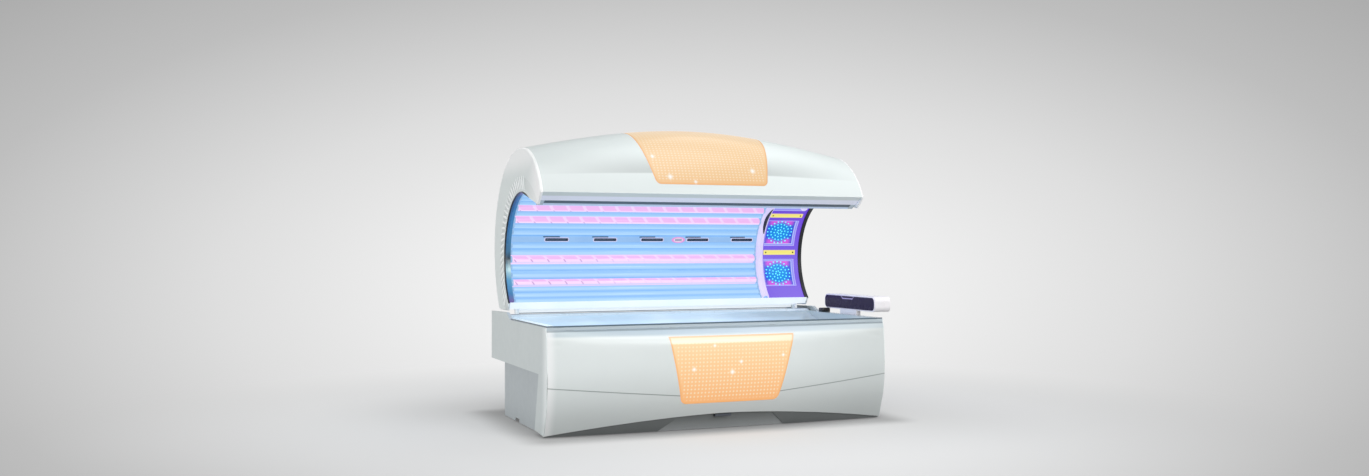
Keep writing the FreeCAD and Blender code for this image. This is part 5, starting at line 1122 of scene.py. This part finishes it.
# %% Screws of the yellow bars
SCREW_RADIUS = 0.0062
SCREW_FLATNESS = 0.35
BAR_FACE = FACIAL_RADIUS - 0.0048
screw_places = []
screw_turns = []
for number in range(TILE_COUNT):
    degrees = TILE_FIRST + (number + 0.5) * TILE_PITCH
    for x in (unit_low.x + 0.026, unit_high.x - 0.044):
        screw_places.append(around(x, degrees, BAR_FACE))
        screw_turns.append(math.radians(degrees + 180))
bronze = finish_of("screw_bronze", "6A5A3C", 0.35, metal=0.6)
screws = grown("bar_screws", screw_places, screw_turns,
               stud_tree("bar_screws", bronze, SCREW_FLATNESS), {"Radius": SCREW_RADIUS})
settle(screws, "canopy", "pin_steel")

# %% [markdown]
# ## Divider, air nozzles and their trim
# A dark lens curves along the upper part of the divider. Each air nozzle sits in a pale bezel, with a
# narrow dark line above it, a painted shadow of the top edge of its housing.

# %% Trim on the divider and the nozzle strip
DIVIDER_RIDGE = 0.4117
LENS_STEPS = 20
LENS_BULGE = 0.003
divider_low, divider_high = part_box("shoulder_divider")
lens_edge = divider_high.x - 0.0165
mesh = bmesh.new()
rows = []
for step in range(LENS_STEPS + 1):
    share = step / LENS_STEPS
    swell = math.sin(math.pi * share)
    width = 0.004 + 0.0235 * swell ** 0.7
    degrees = 25.0 + 33.0 * share
    row = []
    for part in (0.0, 0.25, 0.5, 0.75, 1.0):
        lift = 0.0006 + LENS_BULGE * math.sin(math.pi * part) * swell
        row.append(mesh.verts.new(around(lens_edge - width * part, degrees, DIVIDER_RIDGE - lift)))
    rows.append(row)
for first, second in zip(rows, rows[1:]):
    for step in range(len(first) - 1):
        mesh.faces.new([first[step], first[step + 1], second[step + 1], second[step]])
lens = facing_mesh(mesh, "divider_lens")
lens.data.materials.append(finish_of("lens_dark", "2B2540", 0.12, mottle=0.10, coat=0.3))
settle(lens, "canopy", "dark_plastic")

# %% [markdown]
# A bezel and a shadow line are both outlines with round ends, laid on the strip and raised a little
# from it.
# Faces between one outline and the next make the form.

# %% Bezels and painted shadow lines of the air nozzles
STRIP_ANGLE = 17.2
STRIP_FACE = 0.4397
PILL_STEPS = 24
SHADOW_LINE_SHIFT = -0.038
SHADOW_LINE_RISE = 0.0205


def pill(x, rise, half_long, half_high, lift):
    """Rounded-end outline on the nozzle strip, raised from it by a lift."""
    loop = []
    for step in range(PILL_STEPS):
        turn = 2 * math.pi * step / PILL_STEPS
        along = half_high * math.cos(turn) + math.copysign(half_long - half_high, math.cos(turn))
        height = rise + half_high * math.sin(turn)
        loop.append(around(x + along, STRIP_ANGLE + math.degrees(height / STRIP_FACE),
                           STRIP_FACE - lift))
    return loop


bezel_mesh = bmesh.new()
shadow_line_mesh = bmesh.new()
for number in NOZZLES:
    nozzle_low, nozzle_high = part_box("air_nozzle_%d" % number)
    x = (nozzle_low.x + nozzle_high.x) / 2
    bridged(bezel_mesh, [pill(x, 0.0, 0.089, 0.0165, 0.0004), pill(x, 0.0, 0.088, 0.0155, 0.0022),
                         pill(x, 0.0, 0.0835, 0.0125, 0.0022), pill(x, 0.0, 0.083, 0.012, 0.0004)])
    bridged(shadow_line_mesh, [pill(x + SHADOW_LINE_SHIFT, SHADOW_LINE_RISE, 0.060, 0.0042, 0.0005),
                        pill(x + SHADOW_LINE_SHIFT, SHADOW_LINE_RISE, 0.0585, 0.0030, 0.0020)], closed_end=True)
bezels = facing_mesh(bezel_mesh, "nozzle_bezels")
# the bezels' glow is painted
bezels.data.materials.append(plain_glow("bezel_lilac", "D8D4F6", "E6DCF8", 0.70, share=0.25))
settle(bezels, "canopy", "clear_trim")
shadow_lines = facing_mesh(shadow_line_mesh, "nozzle_shadow_lines")
# a painted shadow of the top edge of each nozzle's housing
shadow_lines.data.materials.append(finish_of("shadow_line_blue", "204E70", 0.35, mottle=0.10))
settle(shadow_lines, "canopy", "dark_plastic")

# %% [markdown]
# ## Screws at the back
# The rear cover and the panel below it are each held by two rows of screws.

# %% Screws of the rear panels
REAR_SCREWS = 9
rear_places = []
for node, inset_x, inset_z in (("rear_cover", 0.045, 0.022), ("pedestal_rear_panel", 0.040, 0.024)):
    panel_low, panel_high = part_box(node)
    for step in range(REAR_SCREWS):
        share = step / (REAR_SCREWS - 1)
        x = panel_low.x + inset_x + (panel_high.x - panel_low.x - 2 * inset_x) * share
        for z in (panel_low.z + inset_z, panel_high.z - inset_z):
            rear_places.append(Vector((x, panel_high.y, z)))
steel = finish_of("screw_steel", "8C9093", 0.30, metal=0.9)
rear_screws = grown("rear_screws", rear_places, [0.0] * len(rear_places),
                    stud_tree("rear_screws", steel, SCREW_FLATNESS), {"Radius": 0.0060})
settle(rear_screws, "base", "pin_steel")

# %% [markdown]
# ## Upstand of the deck
# Between the two hinge brackets a low white upstand stands on the deck and closes the slot under the
# canopy. It stands just behind the hinge's axis, where the canopy only rises as it closes.

# %% The upstand
UPSTAND_Y = 0.470
UPSTAND_STEPS = 24
BRACKET_GAP = 0.004
bracket_ends = [vertex.co.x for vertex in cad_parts["hinge_brackets"].data.vertices]
upstand_start = max(x for x in bracket_ends if x < MIDDLE) + BRACKET_GAP
upstand_stop = min(x for x in bracket_ends if x > MIDDLE) - BRACKET_GAP
deck_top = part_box("rear_deck")[1].z + 0.0002
slot_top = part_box("canopy_bottom_cover")[0].z - 0.0012
profile = [(0.0, deck_top), (0.0, slot_top - 0.001), (0.0015, slot_top), (0.0040, slot_top),
           (0.0055, slot_top - 0.001), (0.0055, deck_top + 0.005), (0.0080, deck_top + 0.0025),
           (0.0260, deck_top + 0.0020), (0.0270, deck_top)]
mesh = bmesh.new()
sections = []
for step in range(UPSTAND_STEPS + 1):
    x = upstand_start + (upstand_stop - upstand_start) * step / UPSTAND_STEPS
    sections.append([mesh.verts.new((x, UPSTAND_Y + back, up)) for back, up in profile])
for first, second in zip(sections, sections[1:]):
    for step in range(len(profile)):
        after = (step + 1) % len(profile)
        mesh.faces.new([first[step], first[after], second[after], second[step]])
for section in (sections[0], sections[-1]):
    mesh.faces.new(section)
bmesh.ops.recalc_face_normals(mesh, faces=mesh.faces)
upstand = kept(mesh, "deck_upstand")


def upstand_painted_light(tree):
    """Upstand with a painted glow: white, with a painted shade line along its foot."""
    above = stepped(tree, place_of(tree)["Z"], deck_top + 0.0045, deck_top + 0.0060)
    return mixed(tree, above, "56697A", "F6FAFC")


upstand.data.materials.append(glowing("upstand_white", upstand_painted_light, 0.45, share=0.60))
settle(upstand, "base", "deck_white")

# %% [markdown]
# ## Foot of the console
# The console stands on the right-hand rim of the tub on a low black foot, whose top is rounded.

# %% The console's foot
rim_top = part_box("bench_acrylic")[1].z
console_low, console_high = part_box("console_body")
foot_start = Vector((console_low.x - 0.052, console_high.y - 0.072, rim_top + 0.0003))
foot_size = Vector((0.066, 0.062, 0.029))
FOOT_ROUNDING = 0.009
mesh = bmesh.new()
bmesh.ops.create_cube(mesh, size=1.0)
for vertex in mesh.verts:
    vertex.co = Vector((foot_start[axis] + (vertex.co[axis] + 0.5) * foot_size[axis]
                        for axis in range(3)))
upper = [edge for edge in mesh.edges if all(v.co.z > rim_top + 0.01 for v in edge.verts)]
upright = [edge for edge in mesh.edges if abs(edge.verts[0].co.z - edge.verts[1].co.z) > 0.01]
bmesh.ops.bevel(mesh, geom=upper + upright, offset=FOOT_ROUNDING, segments=4, profile=0.5,
                affect="EDGES")
for face in mesh.faces:
    face.smooth = True
console_foot = kept(mesh, "console_foot")
console_foot.data.materials.append(finish_of("foot_black", "17161A", 0.35, mottle=0.08))
settle(console_foot, "base", "dark_plastic")

# %% [markdown]
# ## Ribs on the end caps
# The flat face of each end cap has a row of slanting ribs along the hollow. One rib is a stretched
# ball, set on a point for each place, which Geometry Nodes turn to the right slant.

# %% Slanting ribs
def rib_tree(name, material):
    """Tree that puts a long slanting rib on every point."""
    tree, given = new_group(name, ("Length", "Width", "Height"))
    ball = add(tree, "GeometryNodeMeshUVSphere", {"Segments": 16, "Rings": 10, "Radius": 1.0})
    size = add(tree, "ShaderNodeCombineXYZ",
               {"X": given["Height"], "Y": given["Length"], "Z": given["Width"]})
    stretched = add(tree, "GeometryNodeTransform",
                    {"Geometry": ball.outputs["Mesh"], "Scale": size.outputs[0]})
    finished = add(tree, "GeometryNodeSetMaterial",
                   {"Geometry": stretched.outputs[0], "Material": material})
    return placed(tree, given["Geometry"], finished.outputs[0])


RIB_COUNT = 28
RIB_FIRST = -34.0
RIB_PITCH = 4.9
RIB_SLANT = 24.0
RIB_ROW = 0.492
RIB_SIZES = {"Length": 0.050, "Width": 0.0085, "Height": 0.0045}
for side, sign in (("left", -1), ("right", 1)):
    cap_low, cap_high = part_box("canopy_end_" + side)
    face_x = cap_low.x if sign < 0 else cap_high.x
    degrees = [RIB_FIRST + RIB_PITCH * step for step in range(RIB_COUNT)]
    places = [around(face_x - sign * 0.0002, angle, RIB_ROW) for angle in degrees]
    turns = [math.radians(angle - RIB_SLANT) for angle in degrees]
    ribs = grown("cap_ribs_" + side, places, turns,
                 rib_tree("cap_ribs_" + side, PLAIN_FINISHES["rib"]), RIB_SIZES)
    settle(ribs, "canopy", "cap_white")

# %% [markdown]
# ## The clear bench
# The bench is polished acrylic over the lower lamps. Real glass would need many bounces of light to
# look right, so this finish lets part of the light straight through, has a painted glow and soft
# bluish painted reflections, and painted shade towards the right end and along the rim, where the
# sheet is seen edge on.

# %% The clear bench
BENCH_RIM_SHADE = (0.0060, 0.0100)
BENCH_PAINTED_REFLECTIONS = [(0.36, "CADFEB"), (0.5, "D8E9F2"), (0.62, "E6F1F7")]


def clear_bench():
    """Polished acrylic: partly see-through, with a sharp gloss, a painted glow, bluish painted
    reflections, and painted shade at the rim and towards the right end.
    """
    material, tree = blank_material("clear_acrylic")
    parts = place_of(tree)
    low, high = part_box("bench_acrylic")
    rim = calc(tree, "MINIMUM", minus(tree, parts["X"], low.x), minus(tree, high.x, parts["X"]))
    rim = calc(tree, "MINIMUM", rim, minus(tree, parts["Y"], low.y))
    edge = falling(tree, rim, *BENCH_RIM_SHADE)
    wear = noise(tree, 40.0, 5.0)
    gloss = add(tree, "ShaderNodeMapRange", {"Value": wear, "To Min": 0.04, "To Max": 0.12})
    bump = add(tree, "ShaderNodeBump", {"Height": wear, "Distance": 0.0001})
    # bluish painted reflections
    tint = ramp(tree, noise(tree, 1.6, 2.0), BENCH_PAINTED_REFLECTIONS)
    # painted shade towards the right end
    tint = dimmed(tree, tint, stepped(tree, parts["X"], MIDDLE + 0.25, MIDDLE + 1.0), 0.32)
    # painted shade along the rim, where the sheet is seen edge on
    tint = mixed(tree, edge, tint, "4A5A66")
    # the tint also shines as a painted glow
    shader = add(tree, "ShaderNodeBsdfPrincipled",
                 {"Base Color": tint, "Roughness": gloss.outputs["Result"],
                  "Alpha": calc(tree, "MULTIPLY_ADD", edge, 0.30, 0.68),
                  "Emission Color": tint, "Emission Strength": 0.24,
                  "Normal": bump.outputs["Normal"], "Specular IOR Level": 0.7})
    return closed(material, shader)


dress("bench_acrylic", clear_bench())

# %% [markdown]
# ## Studio
# The bed stands on a pale floor that curves up into a backdrop. The backdrop is a surface turned about
# the bed, so that it is there from every side. A painted pool of light makes it brightest behind the
# bed and darker at the edges, as if a lamp shone on it, and a painted shadow lies round the bed's foot.
# It glows only where it is looked at, straight or in a reflection, so that it adds no light to the bed.

# %% Floor and backdrop
CAMERA_PLACE = Vector((MIDDLE - 3.1431, FRONT - 6.8916, 1.1477))
CAMERA_TURN = 22.53
CAMERA_TILT = 0.32
LENS = 32.05
FLOOR_REACH = 10.0
WALL_REACH = 14.0
WALL_HEIGHT = 10.0
SWEEP_STEPS = 96
BEND_STEPS = 12


def sweep_profile():
    """Distances from the bed and heights of the floor, its bend and the wall."""
    bend = WALL_REACH - FLOOR_REACH
    profile = [(0.0, 0.0), (2.0, 0.0), (4.0, 0.0), (FLOOR_REACH, 0.0)]
    for step in range(1, BEND_STEPS + 1):
        angle = math.pi / 2 * step / BEND_STEPS
        profile.append((FLOOR_REACH + bend * math.sin(angle), bend * (1 - math.cos(angle))))
    profile.append((WALL_REACH, WALL_HEIGHT))
    return profile


def backdrop_piece():
    """The profile turned about the bed, with its middle closed."""
    mesh = bmesh.new()
    turns = [2 * math.pi * step / SWEEP_STEPS for step in range(SWEEP_STEPS)]
    rows = []
    for reach, height in sweep_profile():
        if reach == 0:
            rows.append([mesh.verts.new((0, 0, height))] * SWEEP_STEPS)
        else:
            rows.append([mesh.verts.new((reach * math.cos(turn), reach * math.sin(turn), height))
                         for turn in turns])
    for inner, outer in zip(rows, rows[1:]):
        for step in range(SWEEP_STEPS):
            after = (step + 1) % SWEEP_STEPS
            corners = [inner[step], outer[step], outer[after], inner[after]]
            mesh.faces.new(list(dict.fromkeys(corners))).smooth = True
    return kept(mesh, "studio_backdrop")


# %% Grey of the studio
FLOOR_GLOW = 0.30
SPOT_PLACE = (0.0, -0.035)
SPOT_SPREAD = (0.62, 0.26)
SPOT_REACH = 1.3
SPOT_GREYS = [(0.0, "F4F4F4"), (0.23, "F0F0F0"), (0.477, "DEDEDE"), (0.77, "BEBEBE"), (1.0, "ACACAC")]
PATCH_ENDS = (("X", 0.60, 1.30), ("Z", 0.24, 0.80))
CONTACT_SHADOW = (-0.02, 0.24)
WIDE_SHADE = (0.0, 1.4)
FAR_FLOOR = (1.8, 4.2)


def backdrop_grey(tree, place):
    """Painted pool of light on the wall behind the bed, fading to a plain grey on every other side."""
    seen = add(tree, "ShaderNodeMapping",
               {"Vector": place, "Location": tuple(CAMERA_PLACE),
                "Rotation": (0, 0, -math.radians(CAMERA_TURN))}, vector_type="TEXTURE")
    parts = add(tree, "ShaderNodeSeparateXYZ", {"Vector": seen.outputs[0]}).outputs
    depth = calc(tree, "MAXIMUM", parts["Y"], 1.0)
    shares = []
    for part, middle, spread in zip(("X", "Z"), SPOT_PLACE, SPOT_SPREAD):
        slope = calc(tree, "DIVIDE", parts[part], depth)
        shares.append(calc(tree, "DIVIDE", minus(tree, slope, middle), spread))
    grey = ramp(tree, calc(tree, "DIVIDE", length_of(tree, *shares), SPOT_REACH), SPOT_GREYS)
    patch = stepped(tree, parts["Y"], 4.0, 6.0)
    for part, low, high in PATCH_ENDS:
        slope = calc(tree, "ABSOLUTE", calc(tree, "DIVIDE", parts[part], depth))
        patch = times(tree, patch, falling(tree, slope, low, high))
    return mixed(tree, patch, "DDDDDD", grey)


def backdrop_material():
    """Grey floor and wall, with a painted shadow where the bed meets the floor."""
    foot_low, foot_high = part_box("kick_plate")
    foot_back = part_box("rear_cover")[1].y - 0.05
    material, tree = blank_material("studio_grey")
    place = add(tree, "ShaderNodeTexCoord").outputs["Object"]
    grey = backdrop_grey(tree, place)
    spots = place_of(tree)
    outside = []
    for part, low, high in (("X", foot_low.x, foot_high.x), ("Y", foot_low.y, foot_back)):
        away = apart(tree, spots[part], (low + high) / 2)
        outside.append(calc(tree, "MAXIMUM", minus(tree, away, (high - low) / 2), 0.0))
    reach = length_of(tree, *outside)
    # painted shadow round the bed's foot, dark near it and faint further out
    grey = dimmed(tree, grey, falling(tree, reach, *CONTACT_SHADOW), 0.36)
    grey = dimmed(tree, grey, falling(tree, reach, *WIDE_SHADE), 0.10)
    far = stepped(tree, length_of(tree, spots["X"], spots["Y"]), *FAR_FLOOR)
    glow = calc(tree, "MULTIPLY_ADD", far, 1 - FLOOR_GLOW, FLOOR_GLOW)
    rays = add(tree, "ShaderNodeLightPath").outputs
    plain = calc(tree, "MAXIMUM", rays["Is Camera Ray"], rays["Is Glossy Ray"])
    plain = calc(tree, "MAXIMUM", plain, rays["Is Transmission Ray"])
    floor = mixed(tree, calc(tree, "MULTIPLY_ADD", plain, 0.45, 0.55), "000000", grey)
    lit = add(tree, "ShaderNodeBsdfDiffuse", {"Color": floor})
    shine = add(tree, "ShaderNodeEmission", {"Color": grey})
    both = add(tree, "ShaderNodeMixShader",
               {0: times(tree, glow, plain), 1: lit.outputs[0], 2: shine.outputs[0]})
    return closed(material, both)


backdrop = backdrop_piece()
backdrop.data.materials.append(backdrop_material())
backdrop.visible_shadow = False

# %% [markdown]
# ## Light
# Soft light comes from the sky, from a broad sun above the front, and from three large soft boxes: in
# front for the long highlights on the glossy covers, at the left for the rounded corner, and above.

# %% Lights
world = bpy.data.worlds.new("studio_air")
bpy.context.scene.world = world
world.use_nodes = True
world.node_tree.nodes["Background"].inputs["Color"].default_value = paint("F2F6F8")
world.node_tree.nodes["Background"].inputs["Strength"].default_value = 0.55


def sun(name, direction, strength, spread):
    """Even light from one direction with soft shadows."""
    lamp = bpy.data.lights.new(name, "SUN")
    lamp.energy = strength
    lamp.angle = math.radians(spread)
    holder = bpy.data.objects.new(name, lamp)
    holder.rotation_euler = Vector(direction).to_track_quat("-Z", "Y").to_euler()
    bpy.context.scene.collection.objects.link(holder)


def softbox(name, place, aim, width, height, power):
    """Large flat light that leaves a soft reflection."""
    lamp = bpy.data.lights.new(name, "AREA")
    lamp.shape = "RECTANGLE"
    lamp.size = width
    lamp.size_y = height
    lamp.energy = power
    holder = bpy.data.objects.new(name, lamp)
    holder.location = place
    holder.rotation_euler = (Vector(aim) - Vector(place)).to_track_quat("-Z", "Y").to_euler()
    bpy.context.scene.collection.objects.link(holder)


sun("key_light", (-0.05, 0.50, -1.0), 0.95, 50)
softbox("front_box", (0.9, -6.0, 2.3), (0.2, 0, 0.8), 5.0, 2.4, 178)
softbox("left_box", (-6.5, 0.2, 1.3), (-1.1, 0.1, 0.6), 3.0, 2.2, 150)
softbox("top_box", (0.8, -0.6, 4.6), (0.1, 0, 1.0), 4.5, 2.5, 35)

# %% [markdown]
# ## Camera
# The camera stands low, in front of the bed's left end, and looks nearly level.

# %% Camera
camera_data = bpy.data.cameras.new("main_camera")
camera_data.sensor_fit = "HORIZONTAL"
camera_data.sensor_width = 36.0
camera_data.lens = LENS
camera = bpy.data.objects.new("main_camera", camera_data)
camera.location = CAMERA_PLACE
camera.rotation_euler = (math.radians(90 + CAMERA_TILT), 0.0, -math.radians(CAMERA_TURN))
bpy.context.scene.collection.objects.link(camera)
bpy.context.scene.camera = camera
bpy.context.scene.view_settings.view_transform = "Standard"
